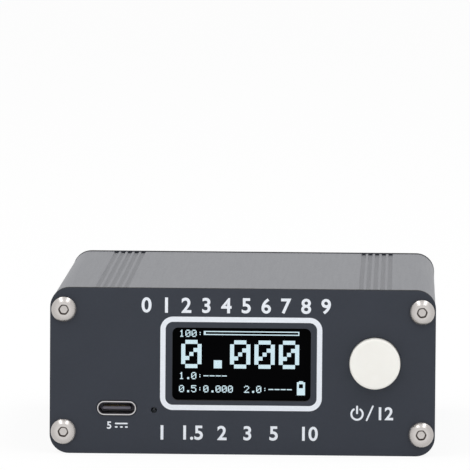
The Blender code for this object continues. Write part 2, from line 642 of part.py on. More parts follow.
def make_button():
    """The cap in the panel and the tactile switch that it presses."""
    axis = (BUTTON_X, BUTTON_Z)
    socket = polygon(STEM_SQUARE + 2 * GAP, 4, turn=45.0)
    inner_radius = BUTTON_RADIUS - BUTTON_WALL
    flange_radius = BUTTON_RADIUS + GAP + BUTTON_FLANGE_LIP
    flange_front = FRONT_INNER + GAP
    cap = [
        (STEM_FRONT - GAP, socket),
        (BUTTON_BACK, socket),
        (BUTTON_BACK, BUTTON_BOSS_RADIUS),
        (BUTTON_FRONT + BUTTON_TOP, BUTTON_BOSS_RADIUS),
        (BUTTON_FRONT + BUTTON_TOP, inner_radius),
        (BUTTON_BACK, inner_radius),
        (BUTTON_BACK, flange_radius),
        (flange_front, flange_radius),
        (flange_front, BUTTON_RADIUS),
    ]
    edge_centre = (BUTTON_FRONT + BUTTON_EDGE, BUTTON_RADIUS - BUTTON_EDGE)
    cap += arc(edge_centre, BUTTON_EDGE, 90.0, 180.0, BUTTON_EDGE_STEPS)
    turned("button_cap", axis, cap, TURNED_SIDES, "white_abs")

    head = polygon(STEM_SQUARE, 4, turn=45.0)
    flange_back = STEM_FLANGE_FRONT + STEM_FLANGE_THICKNESS
    stem = [
        (STEM_FRONT, head),
        (BUTTON_BACK + GAP, head),
        (BUTTON_BACK + GAP, STEM_RADIUS),
        (STEM_FLANGE_FRONT, STEM_RADIUS),
        (STEM_FLANGE_FRONT, STEM_FLANGE_RADIUS),
        (flange_back, STEM_FLANGE_RADIUS),
    ]
    turned("switch_stem", axis, stem, TURNED_SIDES, "black_plastic")

    square = polygon(SWITCH_SIZE, 4, turn=45.0)
    cover_back = SWITCH_FRONT - GAP
    cover_front = cover_back - SWITCH_COVER_THICKNESS
    cover_hole = STEM_RADIUS + GAP
    cover = [(cover_front, cover_hole), (cover_front, square), (cover_back, square), (cover_back, cover_hole)]
    turned("switch_cover", axis, cover, TURNED_SIDES, "tinned_steel", hollow=True)

    pocket_floor = SWITCH_FRONT + SWITCH_POCKET_DEPTH
    base = [
        (pocket_floor, SWITCH_POCKET_RADIUS),
        (SWITCH_FRONT, SWITCH_POCKET_RADIUS),
        (SWITCH_FRONT, square),
        (SWITCH_BACK, square),
    ]
    turned("switch_base", axis, base, TURNED_SIDES, "black_plastic")

    rim = pocket_floor - GAP
    rim_radius = SWITCH_POCKET_RADIUS - GAP
    crown = []
    for i in range(DOME_STEPS + 1):
        radius = DOME_CROWN_RADIUS + (rim_radius - DOME_CROWN_RADIUS) * i / DOME_STEPS
        crown.append((rim - DOME_SHEET - (DOME_RISE - DOME_SHEET) * (1 - (radius / rim_radius) ** 2), radius))
    underside = [(y + DOME_SHEET, radius) for y, radius in reversed(crown)]
    turned("switch_dome", axis, crown + underside, HOLE_SIDES, "stainless_steel")


def make_usb():
    """The USB-C socket, its contact tongue and the charging light."""
    centre = (USB_X, USB_Z)
    outer = stadium(centre, USB_WIDTH, USB_HEIGHT)
    inner = stadium(centre, USB_WIDTH - 2 * USB_SHEET, USB_HEIGHT - 2 * USB_SHEET)
    extruded("usb_shell", [outer, inner], USB_FRONT, USB_REAR, upright, "tinned_steel")

    inset = 2 * (USB_SHEET + GAP)
    back = stadium(centre, USB_WIDTH - inset, USB_HEIGHT - inset)
    back_front = USB_REAR - USB_BACK_THICKNESS
    body = extruded("usb_tongue", [back], back_front, USB_REAR, upright, "grey_nylon")
    half_width = USB_TONGUE_WIDTH / 2
    half_height = USB_TONGUE_THICKNESS / 2
    low = (USB_X - half_width, USB_FRONT + USB_TONGUE_RECESS, USB_Z - half_height)
    high = (USB_X + half_width, back_front + USB_BACK_THICKNESS / 2, USB_Z + half_height)
    combined(body, [box("tongue_blade", low, high, "grey_nylon")], "UNION")

    front = FRONT_INNER + BOARD_TONGUE_CLEARANCE
    left = LIGHT_X - LIGHT_WIDTH / 2
    right = LIGHT_X + LIGHT_WIDTH / 2
    back = front + LIGHT_DEPTH
    lens = arc((LIGHT_X, front + LIGHT_WIDTH / 2), LIGHT_WIDTH / 2, 180.0, 360.0, CORNER_STEPS)
    outline = lens + [(right, back + LIGHT_SHOULDER), (left, back + LIGHT_SHOULDER)]
    extruded("charge_led", [outline], ON_BOARD, ON_BOARD + LIGHT_HEIGHT, flat, "clear_epoxy")


def on_board_box(name, centre, width, length, height, finish):
    """A block standing on the main board."""
    low = (centre[0] - width / 2, centre[1] - length / 2, ON_BOARD)
    high = (centre[0] + width / 2, centre[1] + length / 2, ON_BOARD + height)
    return box(name, low, high, finish)


def make_main_board():
    """The main board in its slots, with the chips it carries."""
    side = INNER_X - GAP
    tongue_left = USB_X - USB_WIDTH / 2 - BOARD_TONGUE_MARGIN
    tongue_right = LIGHT_X + LIGHT_WIDTH / 2 + BOARD_TONGUE_LIP
    tongue_front = FRONT_INNER + BOARD_TONGUE_CLEARANCE
    outline = [
        (-side, BEHIND_DISPLAY),
        (tongue_left, BEHIND_DISPLAY),
        (tongue_left, tongue_front),
        (tongue_right, tongue_front),
        (tongue_right, BEHIND_DISPLAY),
        (side, BEHIND_DISPLAY),
        (side, BOARD_REAR),
        (-side, BOARD_REAR),
    ]
    extruded("main_board", [outline], BOARD_BOTTOM, BOARD_TOP, flat, "green_circuit_board")

    size = PROCESSOR_SIZE
    place = (PROCESSOR_X, PROCESSOR_Y)
    on_board_box("microcontroller", place, size, size, PROCESSOR_THICKNESS, "black_plastic")
    place = (USB_X, USB_REAR + CHARGER_SETBACK + CHARGER_LENGTH / 2)
    on_board_box("charge_chip", place, CHARGER_WIDTH, CHARGER_LENGTH, CHARGER_THICKNESS, "black_plastic")


def lead_path(start_x, end_x, dip):
    """A lead's loop from the battery's end round to its plug."""
    start_z = ON_BOARD + BATTERY_THICKNESS / 2
    end_z = ON_BOARD + PLUG_HEIGHT / 2
    points = []
    for i in range(LEAD_STEPS + 1):
        share = i / LEAD_STEPS
        across = (1 - math.cos(math.pi * share)) / 2
        x = start_x + (end_x - start_x) * across
        ends_y = BATTERY_FRONT + (PLUG_FRONT - BATTERY_FRONT) * share
        y = ends_y - GAP - dip * math.sin(math.pi * share)
        points.append((x, y, start_z + (end_z - start_z) * across))
    return points


def make_battery():
    """The flat cell on the main board, with its two leads and connector."""
    centre = (0.0, ON_BOARD + BATTERY_THICKNESS / 2)
    outline = rounded_rectangle(centre, BATTERY_WIDTH, BATTERY_THICKNESS, BATTERY_CORNER)
    rear = BATTERY_FRONT + BATTERY_LENGTH
    extruded("battery_pack", [outline], BATTERY_FRONT, rear, upright, "battery_foil")

    right = PLUG_X + LEAD_PITCH / 2
    left = PLUG_X - LEAD_PITCH / 2
    outer = lead_path(LEAD_START_X - LEAD_SPREAD, right, LEAD_DIP + LEAD_SPREAD)
    inner = lead_path(LEAD_START_X, left, LEAD_DIP)
    tube("battery_lead_red", outer, LEAD_RADIUS, "red_insulation")
    tube("battery_lead_black", inner, LEAD_RADIUS, "black_insulation")

    place = (PLUG_X, PLUG_FRONT + PLUG_LENGTH / 2)
    on_board_box("battery_plug", place, PLUG_WIDTH, PLUG_LENGTH, PLUG_HEIGHT, "white_nylon")
    length = PLUG_SOCKET_LENGTH
    place = (PLUG_X, PLUG_REAR + GAP + length / 2)
    on_board_box("battery_socket", place, PLUG_WIDTH, length, PLUG_SOCKET_HEIGHT, "white_nylon")


def make_socket(prefix, socket_x):
    """One coaxial socket: metal body, insulator, centre contact and fasteners."""
    flange = polygon(SOCKET_FLANGE, 4, turn=45.0)
    body = turned(
        f"{prefix}_socket_body",
        (0.0, 0.0),
        [
            (SOCKET_MOUTH, SOCKET_BORE_RADIUS),
            (SOCKET_MOUTH, SOCKET_BARREL_RADIUS - SOCKET_CHAMFER),
            (SOCKET_MOUTH - SOCKET_CHAMFER, SOCKET_BARREL_RADIUS),
            (FLANGE_OUTER, SOCKET_BARREL_RADIUS),
            (FLANGE_OUTER, flange),
            (FLANGE_INNER, flange),
            (FLANGE_INNER, SOCKET_BOSS_RADIUS),
            (BOSS_END, SOCKET_BOSS_RADIUS),
            (BOSS_END, SOCKET_BOSS_BORE_RADIUS),
            (BORE_STEP, SOCKET_BOSS_BORE_RADIUS),
            (BORE_STEP, SOCKET_BORE_RADIUS),
        ],
        TURNED_SIDES,
        "nickel_plate",
        hollow=True,
    )
    cutters = []
    for place in square_places((0.0, 0.0), SOCKET_SCREW_OFFSET):
        ends = [(FLANGE_INNER - OVERRUN, SCREW_HOLE_RADIUS), (FLANGE_OUTER + OVERRUN, SCREW_HOLE_RADIUS)]
        cutters.append(turned("flange_hole", place, ends, SCREW_SIDES, "nickel_plate"))
    notch = SOCKET_NOTCH_WIDTH / 2
    reach = SOCKET_BARREL_RADIUS + OVERRUN
    for half_x, half_z in ((reach, notch), (notch, reach)):
        low = (-half_x, SOCKET_MOUTH - SOCKET_NOTCH_DEPTH, -half_z)
        high = (half_x, SOCKET_MOUTH + OVERRUN, half_z)
        cutters.append(box("rim_notch", low, high, "nickel_plate"))
    combined(body, cutters, "DIFFERENCE")
    body.location = (socket_x, 0.0, MID_HEIGHT)

    axis = (socket_x, MID_HEIGHT)
    tail_bore = CONTACT_TAIL_RADIUS + GAP
    front_bore = CONTACT_RADIUS + GAP
    insulator = [
        (INSULATOR_FACE, SOCKET_BORE_RADIUS - GAP),
        (BORE_STEP + GAP, SOCKET_BORE_RADIUS - GAP),
        (BORE_STEP + GAP, SOCKET_BOSS_BORE_RADIUS - GAP),
        (INSULATOR_REAR, SOCKET_BOSS_BORE_RADIUS - GAP),
        (INSULATOR_REAR, tail_bore),
        (CONTACT_STEP - GAP, tail_bore),
        (CONTACT_STEP - GAP, front_bore),
        (INSULATOR_FACE, front_bore),
    ]
    turned(f"{prefix}_socket_insulator", axis, insulator, TURNED_SIDES, "ptfe", hollow=True)

    contact = [
        (INSULATOR_FACE - CONTACT_BORE_DEPTH, CONTACT_BORE_RADIUS),
        (INSULATOR_FACE, CONTACT_BORE_RADIUS),
        (INSULATOR_FACE, CONTACT_RADIUS),
        (CONTACT_STEP, CONTACT_RADIUS),
        (CONTACT_STEP, CONTACT_TAIL_RADIUS),
        (CONTACT_REAR, CONTACT_TAIL_RADIUS),
    ]
    turned(f"{prefix}_socket_contact", axis, contact, HOLE_SIDES, "gold_plate")

    seat = FLANGE_OUTER + GAP
    nut_bore = SCREW_RADIUS + GAP
    hexagon = polygon(NUT_KEY, 6)
    nut = [(NUT_FRONT, nut_bore), (NUT_FRONT, hexagon), (NUT_REAR, hexagon), (NUT_REAR, nut_bore)]
    for i, place in enumerate(square_places(axis, SOCKET_SCREW_OFFSET), start=1):
        screw(f"{prefix}_flange_screw_{i}", place, seat, 1, seat - FLANGE_SCREW_END)
        turned(f"{prefix}_flange_nut_{i}", place, nut, NUT_SIDES, "stainless_steel", hollow=True)


def core(name, centre_x):
    """A ring core on an axis along X, its four edges chamfered."""
    half = CORE_THICKNESS / 2
    inset = half - CORE_CHAMFER
    inner = CORE_INNER_RADIUS
    outer = CORE_OUTER_RADIUS
    section = [
        (-half, inner + CORE_CHAMFER),
        (-half, outer - CORE_CHAMFER),
        (-inset, outer),
        (inset, outer),
        (half, outer - CORE_CHAMFER),
        (half, inner + CORE_CHAMFER),
        (inset, inner),
        (-inset, inner),
    ]
    bm = bmesh.new()
    verts = [bm.verts.new((centre_x + dx, CORE_Y, CORE_Z + radius)) for dx, radius in section]
    ends = zip(verts, verts[1:] + verts[:1])
    edges = [bm.edges.new(pair) for pair in ends]
    bmesh.ops.spin(
        bm,
        geom=edges,
        cent=(centre_x, CORE_Y, CORE_Z),
        axis=(1.0, 0.0, 0.0),
        angle=math.tau,
        steps=CORE_SIDES,
        use_merge=True,
    )
    return add_object(name, bm, "ferrite", smooth=True)


def superellipse(angle, half_width, half_height):
    """A point on a soft-cornered rectangle, which a wire round a core follows."""
    power = 2 / WINDING_SQUARENESS
    cosine = math.cos(angle)
    sine = math.sin(angle)
    across = half_width * math.copysign(abs(cosine) ** power, cosine)
    along = half_height * math.copysign(abs(sine) ** power, sine)
    return across, along


def winding_path(centre_x):
    """The wire's turns round the core, and its two ends down to the board."""
    middle = (CORE_OUTER_RADIUS + CORE_INNER_RADIUS) / 2
    half_width = (CORE_OUTER_RADIUS - CORE_INNER_RADIUS) / 2 + WIRE_OFFSET
    half_height = CORE_THICKNESS / 2 + WIRE_OFFSET
    first = math.radians((360.0 - WOUND_ANGLE) / 2)
    count = TURNS * POINTS_PER_TURN
    points = []
    for i in range(count + 1):
        round_core = first + math.radians(WOUND_ANGLE) * i / count
        round_section = 2 * math.pi * i / POINTS_PER_TURN
        across, along = superellipse(round_section, half_width, half_height)
        radius = middle + across
        y = CORE_Y + radius * math.sin(round_core)
        points.append((centre_x + along, y, CORE_Z - radius * math.cos(round_core)))
    feet = [(points[end][0], points[end][1], ON_BOARD) for end in (0, -1)]
    return [feet[0]] + points + [feet[1]]


def least_gap(points, radius, apart):
    """Least space between stretches of a wire that are some points apart."""
    closest = math.inf
    for i, start in enumerate(points):
        for other in points[i + apart:]:
            closest = min(closest, (Vector(start) - Vector(other)).length)
    return closest - 2 * radius


def line_path():
    """The through line: out of one contact, through both cores, to the other."""
    contact = Vector((-SOCKET_SPREAD, LINE_END_Y, MID_HEIGHT))
    entry = Vector((-LINE_STRAIGHT, CORE_Y, CORE_Z))
    down = Vector((0.0, (CORE_Y - LINE_END_Y) * LINE_START_SHARE, 0.0))
    along = Vector(((SOCKET_SPREAD - LINE_STRAIGHT) * LINE_END_SHARE, 0.0, 0.0))
    bend = geometry.interpolate_bezier(contact, contact + down, entry - along, entry, LINE_BEND_STEPS)
    mirrored = [Vector((-point.x, point.y, point.z)) for point in reversed(bend)]
    return [tuple(point) for point in list(bend) + mirrored]


def make_coupler():
    """The sensing coupler: the line is one turn through each wound core."""
    places = {"forward": -CORE_SPREAD, "reflected": CORE_SPREAD}
    for name, centre_x in places.items():
        core(f"coupler_core_{name}", centre_x)
        path = winding_path(centre_x)
        tube(f"coupler_winding_{name}", path, WIRE_RADIUS, "enamelled_copper")
        gap = least_gap(path, WIRE_RADIUS, POINTS_PER_TURN - 1)
        print(f"{name} winding: least gap {gap / MM:.2f} mm, over {LEAST_WIRE_GAP / MM:.2f} mm wanted")
    tube("rf_line", line_path(), LINE_RADIUS, "copper")


for leftover in list(bpy.data.objects):
    bpy.data.objects.remove(leftover)
make_shells()
make_panels()
make_display()
make_button()
make_usb()
make_main_board()
make_battery()
make_socket("tx", -SOCKET_SPREAD)
make_socket("ant", SOCKET_SPREAD)
make_coupler()
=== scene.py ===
"""The looks of a small inline power meter, in the order in which it goes together.

Lengths are metres, +Z is up, and the front panel faces -Y.
"""

import math

import bmesh
import bpy
from mathutils import Matrix, Vector


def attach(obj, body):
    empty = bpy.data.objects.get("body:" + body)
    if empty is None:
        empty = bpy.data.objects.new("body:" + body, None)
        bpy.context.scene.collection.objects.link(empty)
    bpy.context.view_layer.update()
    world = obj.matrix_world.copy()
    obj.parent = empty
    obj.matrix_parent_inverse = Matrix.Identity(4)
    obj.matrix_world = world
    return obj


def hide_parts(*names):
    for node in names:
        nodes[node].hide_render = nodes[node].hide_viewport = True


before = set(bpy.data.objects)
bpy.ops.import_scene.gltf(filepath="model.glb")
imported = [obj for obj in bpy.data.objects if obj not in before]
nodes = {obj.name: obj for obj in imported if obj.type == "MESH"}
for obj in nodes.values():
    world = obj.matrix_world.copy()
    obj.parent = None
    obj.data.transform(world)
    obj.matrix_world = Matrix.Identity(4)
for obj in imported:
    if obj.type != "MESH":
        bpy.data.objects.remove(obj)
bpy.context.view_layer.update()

MM = 0.001

# Camera
# A long lens a metre and a half away looks at the front panel from a little above,
# so the panel is nearly square on and the case's top shows as a narrow grey band.
CAMERA_PLACE = (35.719 * MM, -1497.001 * MM, 166.419 * MM)
CAMERA_TURN = math.radians(1.49243)
CAMERA_DIP = math.radians(4.59069)
CAMERA_ROLL = math.radians(0.40890)


def in_scene(name, data):
    """A new object with its data, put in the scene."""
    item = bpy.data.objects.new(name, data)
    bpy.context.collection.objects.link(item)
    return item


camera_data = bpy.data.cameras.new("camera")
camera_data.sensor_width = 36.0
camera_data.lens = 487.86
camera_data.clip_end = 100.0
camera = in_scene("camera", camera_data)
camera.matrix_world = (
    Matrix.Translation(CAMERA_PLACE)
    @ Matrix.Rotation(CAMERA_TURN, 4, "Z")
    @ Matrix.Rotation(math.pi / 2 - CAMERA_DIP, 4, "X")
    @ Matrix.Rotation(CAMERA_ROLL, 4, "Z")
)
bpy.context.scene.camera = camera
bpy.context.scene.view_settings.view_transform = "Standard"


# Floor and light
# A sheet of white card lies under the meter, and white walls stand round it. Two long
# strip lights hang over it from front to back, as over a table for catalogue pictures.
def linear(hex_colour):
    """An sRGB hex colour as linear red, green, blue and alpha."""
    channels = [int(hex_colour[i:i + 2], 16) / 255 for i in (1, 3, 5)]
    return tuple(c / 12.92 if c <= 0.04045 else ((c + 0.055) / 1.055) ** 2.4 for c in channels) + (1.0,)


def wire(node, inputs):
    """Sets a node's inputs to values or hex colours, or links them to outputs or to nodes, each
    of which gives its first output in use."""
    for key, value in inputs.items():
        if isinstance(value, bpy.types.Node):
            value = next(output for output in value.outputs if output.enabled)
        if isinstance(value, bpy.types.NodeSocket):
            node.id_data.links.new(value, node.inputs[key])
        elif isinstance(value, str) and value.startswith("#"):
            node.inputs[key].default_value = linear(value)
        else:
            node.inputs[key].default_value = value


def add_node(tree, kind, settings=None, inputs=None):
    """One node, a shader node unless its kind says otherwise, with its settings and inputs."""
    node = tree.nodes.new(kind if "Node" in kind else "ShaderNode" + kind)
    for name, value in (settings or {}).items():
        setattr(node, name, value)
    wire(node, inputs or {})
    return node


def mottle(tree, place, size, detail, dark, light):
    """A tone that varies in soft patches, size across, between two close ones."""
    patches = add_node(tree, "TexNoise", None, {"Vector": place, "Scale": 1 / size, "Detail": detail})
    return add_node(tree, "Mix", {"data_type": "RGBA"}, {0: patches, 6: dark, 7: light})


def seen_directly(tree):
    """1 for what the camera sees, also mirrored in metal or through glass, and 0 for light."""
    path = add_node(tree, "LightPath")
    mirrored = add_node(tree, "Math", {"operation": "MAXIMUM"}, {
        0: path.outputs["Is Glossy Ray"], 1: path.outputs["Is Transmission Ray"],
    })
    either = add_node(tree, "Math", {"operation": "MAXIMUM"}, {
        0: path.outputs["Is Camera Ray"], 1: mirrored,
    })
    return either


world = bpy.data.worlds.new("white_room")
world.use_nodes = True
world.node_tree.nodes.clear()
room_light = add_node(world.node_tree, "Background", None, {"Color": "#FFFFFF", "Strength": 0.8})
room_wall = add_node(world.node_tree, "Background", None, {"Color": "#FFFFFF", "Strength": 1.0})
room = add_node(world.node_tree, "MixShader", None, {
    0: seen_directly(world.node_tree), 1: room_light, 2: room_wall,
})
add_node(world.node_tree, "OutputWorld", None, {"Surface": room})
bpy.context.scene.world = world

card = bpy.data.materials.new("matt_white_card")
card.use_nodes = True
card.node_tree.nodes.clear()
card_place = add_node(card.node_tree, "TexCoord").outputs["Object"]
card_tone = mottle(card.node_tree, card_place, 2.0 * MM, 3.0, "#F5F5F5", "#F9F9F9")
card_matt = add_node(card.node_tree, "BsdfDiffuse", None, {"Color": card_tone})
card_glow = add_node(card.node_tree, "Emission", None, {"Strength": 1.0})
card_share = add_node(card.node_tree, "Math", {"operation": "MULTIPLY"}, {
    0: seen_directly(card.node_tree), 1: 0.9,
})
card_surface = add_node(card.node_tree, "MixShader", None, {0: card_share, 1: card_matt, 2: card_glow})
add_node(card.node_tree, "OutputMaterial", None, {"Surface": card_surface})

CARD_REACH = 12.0
floor_mesh = bpy.data.meshes.new("floor")
floor_corners = [(-CARD_REACH, -CARD_REACH, 0), (CARD_REACH, -CARD_REACH, 0)]
floor_corners += [(CARD_REACH, CARD_REACH, 0), (-CARD_REACH, CARD_REACH, 0)]
floor_mesh.from_pydata(floor_corners, [], [(0, 1, 2, 3)])
floor_mesh.materials.append(card)
in_scene("floor", floor_mesh)


# Each lamp is turned about its length to face the meter.
LAMP_OUT = 0.5
LAMP_HEIGHT = 1.3
for side_name, lamp_x in (("left", -LAMP_OUT), ("right", LAMP_OUT)):
    lamp = bpy.data.lights.new(side_name + "_strip_light", "AREA")
    lamp.shape = "RECTANGLE"
    lamp.size = 0.34
    lamp.size_y = 2.0
    lamp.energy = 5.0
    stand = in_scene(side_name + "_strip_light", lamp)
    stand.location = (lamp_x, -LAMP_OUT, LAMP_HEIGHT)
    stand.rotation_euler = (0, math.atan2(lamp_x, LAMP_HEIGHT), 0)


# Case halves
# Two lengths of one aluminium extrusion, the upper turned over onto the lower, with
# five shallow grooves near each side. Bead blasted, then anodised dark grey.
CASE_WIDTH = 88.0 * MM
CASE_HEIGHT = 38.0 * MM
HALF_WIDTH = CASE_WIDTH / 2
MID_HEIGHT = CASE_HEIGHT / 2
CASE_CORNER = 4.4 * MM
SHELL_INSET = 0.1 * MM
CASE_WALL = 1.6 * MM
INNER_X = HALF_WIDTH - CASE_WALL
CASE_END = 49.98 * MM
SEAM = 0.12 * MM
TONGUE_DEPTH = 1.7 * MM
GROOVE_CENTRES = [(33.37 - 1.63 * i) * MM for i in range(5)]
GROOVE_WIDTH = 1.25 * MM
GROOVE_DEPTH = 0.27 * MM
EDGE_BREAK = 0.12 * MM
SCREW_X = 40.85 * MM
SCREW_LOW_Z = 5.0 * MM
CHANNEL_RADIUS = 1.5 * MM
CHANNEL_SLIT = 1.2 * MM
CHANNEL_SIDE = 38.7 * MM
CHANNEL_TOP = 7.0 * MM
BOARD_SLOT = (8.8 * MM, 9.8 * MM)
SLOT_RIB_DEPTH = 1.5 * MM


def arc(centre, radius, first, last, steps):
    """Points along part of a circle, angles in degrees, both ends included."""
    angles = [math.radians(first + (last - first) * i / steps) for i in range(steps + 1)]
    return [(centre[0] + radius * math.cos(a), centre[1] + radius * math.sin(a)) for a in angles]


def case_side(has_tongue):
    """Half of a shell's section: width against height above its closed face."""
    points = []
    for centre in reversed(GROOVE_CENTRES):
        for across in (-1.0, -0.9, -0.8, -0.7, -0.6, -0.5, 0.5, 0.6, 0.7, 0.8, 0.9, 1.0):
            fall = (1 - abs(across)) / 0.5
            deep = GROOVE_DEPTH * fall * fall * (3 - 2 * fall)
            points.append((centre + across * GROOVE_WIDTH / 2, SHELL_INSET + deep))
    corner = (HALF_WIDTH - CASE_CORNER, CASE_CORNER)
    points += arc(corner, CASE_CORNER - SHELL_INSET, -90.0, 0.0, 18)
    rim = MID_HEIGHT - SEAM / 2
    tongue = INNER_X + (CASE_WALL - SEAM) / 2
    if has_tongue:
        step = (tongue, MID_HEIGHT + TONGUE_DEPTH)
    else:
        step = (tongue + SEAM, MID_HEIGHT - TONGUE_DEPTH - SEAM)
    points += [(HALF_WIDTH - SHELL_INSET, rim), (step[0], rim), step, (INNER_X, step[1])]
    rib = INNER_X - SLOT_RIB_DEPTH
    points += [(INNER_X, BOARD_SLOT[1]), (rib, BOARD_SLOT[1])]
    points += [(rib, BOARD_SLOT[0]), (INNER_X, BOARD_SLOT[0])]
    points += [(INNER_X, CHANNEL_TOP), (CHANNEL_SIDE, CHANNEL_TOP)]
    points += [(CHANNEL_SIDE, SCREW_LOW_Z + CHANNEL_SLIT / 2)]
    slit = math.degrees(math.asin(CHANNEL_SLIT / 2 / CHANNEL_RADIUS))
    points += arc((SCREW_X, SCREW_LOW_Z), CHANNEL_RADIUS, 180.0 - slit, slit - 180.0, 24)
    points += [(CHANNEL_SIDE, SCREW_LOW_Z - CHANNEL_SLIT / 2), (CHANNEL_SIDE, CASE_WALL)]
    return points


def evaluated_mesh(item):
    """The mesh of an object with all its modifiers applied."""
    return bpy.data.meshes.new_from_object(item.evaluated_get(bpy.context.evaluated_depsgraph_get()))


def add_piece(name, mesh, finish, slot, *replaced, body="case"):
    """Puts a mesh in the scene with one material, riding on a body, in place of some solids. Its
    flat faces stay flat beside rounded edges, as the normals are weighted by the faces' areas."""
    mesh.materials.clear()
    mesh.materials.append(finish)
    piece = in_scene(name, mesh)
    weighting = piece.modifiers.new("weighting", "WEIGHTED_NORMAL")
    weighting.keep_sharp = True
    piece.data = evaluated_mesh(piece)
    piece.modifiers.clear()
    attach(piece, body)
    if replaced:
        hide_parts(*replaced)
    return piece


def mark_points(mesh, name, values):
    """Gives each point of a mesh a number, which a material or a tree reads by name."""
    mesh.attributes.new(name, "FLOAT", "POINT").data.foreach_set("value", values)


def clean_mesh(name, shape, sharp_angle=30.0):
    """A bmesh made into a mesh: doubles merged, faces outward, smooth between sharp edges."""
    bmesh.ops.remove_doubles(shape, verts=shape.verts, dist=0.0005 * MM)
    bmesh.ops.recalc_face_normals(shape, faces=shape.faces)
    mesh = bpy.data.meshes.new(name)
    shape.to_mesh(mesh)
    shape.free()
    mesh.shade_smooth()
    mesh.set_sharp_from_angle(angle=math.radians(sharp_angle))
    return mesh


def extruded_shell(name, section):
    """A closed section pushed along Y, with all its edges broken."""
    shape = bmesh.new()
    near = [shape.verts.new((x, -CASE_END, z)) for x, z in section]
    far = [shape.verts.new((x, CASE_END, z)) for x, z in section]
    shape.faces.new(near)
    shape.faces.new(list(reversed(far)))
    for i in range(len(section)):
        shape.faces.new((near[i - 1], near[i], far[i], far[i - 1]))
    bmesh.ops.recalc_face_normals(shape, faces=shape.faces)
    edges = [e for e in shape.edges if e.calc_face_angle() > math.radians(30.0)]
    bmesh.ops.bevel(
        shape, geom=edges, offset=EDGE_BREAK, offset_type="OFFSET", segments=2, profile=0.5,
        affect="EDGES", clamp_overlap=True,
    )
    return clean_mesh(name, shape, 24.0)


def new_finish(name, values):
    """A material with its shader's values: returns it, its tree, the shader, object coordinates."""
    finish = bpy.data.materials.new(name)
    finish.use_nodes = True
    tree = finish.node_tree
    shader = tree.nodes["Principled BSDF"]
    wire(shader, values)
    place = add_node(tree, "TexCoord").outputs["Object"]
    return finish, tree, shader, place


# Bead blasted, anodised aluminium: a satin dark grey that turns pale at a glancing angle,
# with a fine grain from the blasting and faint lines along Y from the extrusion die. The
# blasting's pits are about 0.1 mm across; they are drawn at 0.35 mm so that they show. The
# grooves are darkened in colour and in glancing tint, the deeper the darker: painted shade.
anodised, tree, shader, place = new_finish("bead_blasted_anodised_aluminium", {
    "Metallic": 1.0, "Roughness": 0.42,
})
die_direction = add_node(tree, "Mapping", None, {"Vector": place, "Scale": (1.0, 0.02, 1.0)})
die_lines = add_node(tree, "TexNoise", None, {
    "Vector": die_direction, "Scale": 1 / (0.6 * MM), "Detail": 4.0,
})
blasted_pits = add_node(tree, "TexNoise", None, {
    "Vector": place, "Scale": 1 / (0.35 * MM), "Detail": 3.0, "Roughness": 0.6,
})
dye = add_node(tree, "Mix", {"data_type": "RGBA"}, {0: blasted_pits, 6: "#393A3E", 7: "#5E5F64"})
# Painted shade: the grooves' colour and glancing tint are darkened by their depth.
painted_groove_shade = add_node(tree, "Math", {"operation": "MULTIPLY"}, {
    0: add_node(tree, "Attribute", {"attribute_name": "groove_shade_depth"}).outputs["Fac"], 1: 0.14,
})
dye_with_groove_shade = add_node(tree, "Mix", {"data_type": "RGBA"}, {0: painted_groove_shade, 6: dye, 7: "#1C1D1F"})
pale_sheen = add_node(tree, "Mix", {"data_type": "RGBA"}, {0: blasted_pits, 6: "#E3E5EC", 7: "#FFFFFF"})
sheen_with_groove_shade = add_node(tree, "Mix", {"data_type": "RGBA"}, {0: painted_groove_shade, 6: pale_sheen, 7: "#1C1D1F"})
surface_height = add_node(tree, "Mix", {"data_type": "FLOAT"}, {0: 0.85, 2: die_lines, 3: blasted_pits})
satin = add_node(tree, "MapRange", None, {0: surface_height, 1: 0.3, 2: 0.7, 3: 0.27, 4: 0.38})
blasted_bump = add_node(tree, "Bump", None, {
    "Strength": 0.4, "Distance": 0.01 * MM, "Height": surface_height,
})
wire(shader, {"Base Color": dye_with_groove_shade, "Specular Tint": sheen_with_groove_shade, "Roughness": satin, "Normal": blasted_bump})

case_section = case_side(has_tongue=False)
case_section += [(-x, z) for x, z in reversed(case_side(has_tongue=True))]
turned_over = [(-x, CASE_HEIGHT - z) for x, z in case_section]
grooved_reach = GROOVE_CENTRES[0] + GROOVE_WIDTH / 2
for side_name, section, face_z in (
    ("lower", case_section, SHELL_INSET), ("upper", turned_over, CASE_HEIGHT - SHELL_INSET),
):
    half_name = side_name + "_case_half"
    half_mesh = extruded_shell(half_name, section)
    half = add_piece(half_name, half_mesh, anodised, "anodised_case", side_name + "_shell")

    # A mark for the material: how far each point lies down in a groove, from 0 to 1, by which the material
    # darkens it as painted shade.
    depths = []
    for vertex in half.data.vertices:
        depth = abs(vertex.co.z - face_z) / GROOVE_DEPTH
        grooved = depth < 1.05 and abs(vertex.co.x) < grooved_reach
        depths.append(depth if grooved else 0.0)
    mark_points(half.data, "groove_shade_depth", depths)


# Front and rear panels
# Printed circuit laminate 1.6 mm thick, routed to shape and drilled, with matt black
# solder mask on both faces. Four screws clamp each panel to the ends of the case.
FRONT_FACE = -51.6 * MM
FRONT_INNER = -50.0 * MM
REAR_INNER = 50.0 * MM
REAR_FACE = 51.6 * MM
ROUTED_EDGE = 0.08 * MM
PANEL_SCREWS = [(x, z) for z in (CASE_HEIGHT - SCREW_LOW_Z, SCREW_LOW_Z) for x in (-SCREW_X, SCREW_X)]
SCREW_HOLE = 1.7 * MM
WINDOW = (-0.25 * MM, 20.69 * MM, 31.6 * MM, 16.67 * MM, 1.3 * MM)
BUTTON_X = 30.185 * MM
BUTTON_Z = 21.3 * MM
BUTTON_RADIUS = 5.78 * MM
USB_X = -28.7 * MM
USB_Z = 10.43 * MM
USB_WIDTH = 8.94 * MM
USB_HEIGHT = 3.26 * MM
LIGHT_X = -20.18 * MM
LIGHT_Z = 10.05 * MM
LIGHT_HOLE = 0.7 * MM
PART_GAP = 0.3 * MM
CLOSE_GAP = 0.12 * MM
SOCKET_X = 20.0 * MM
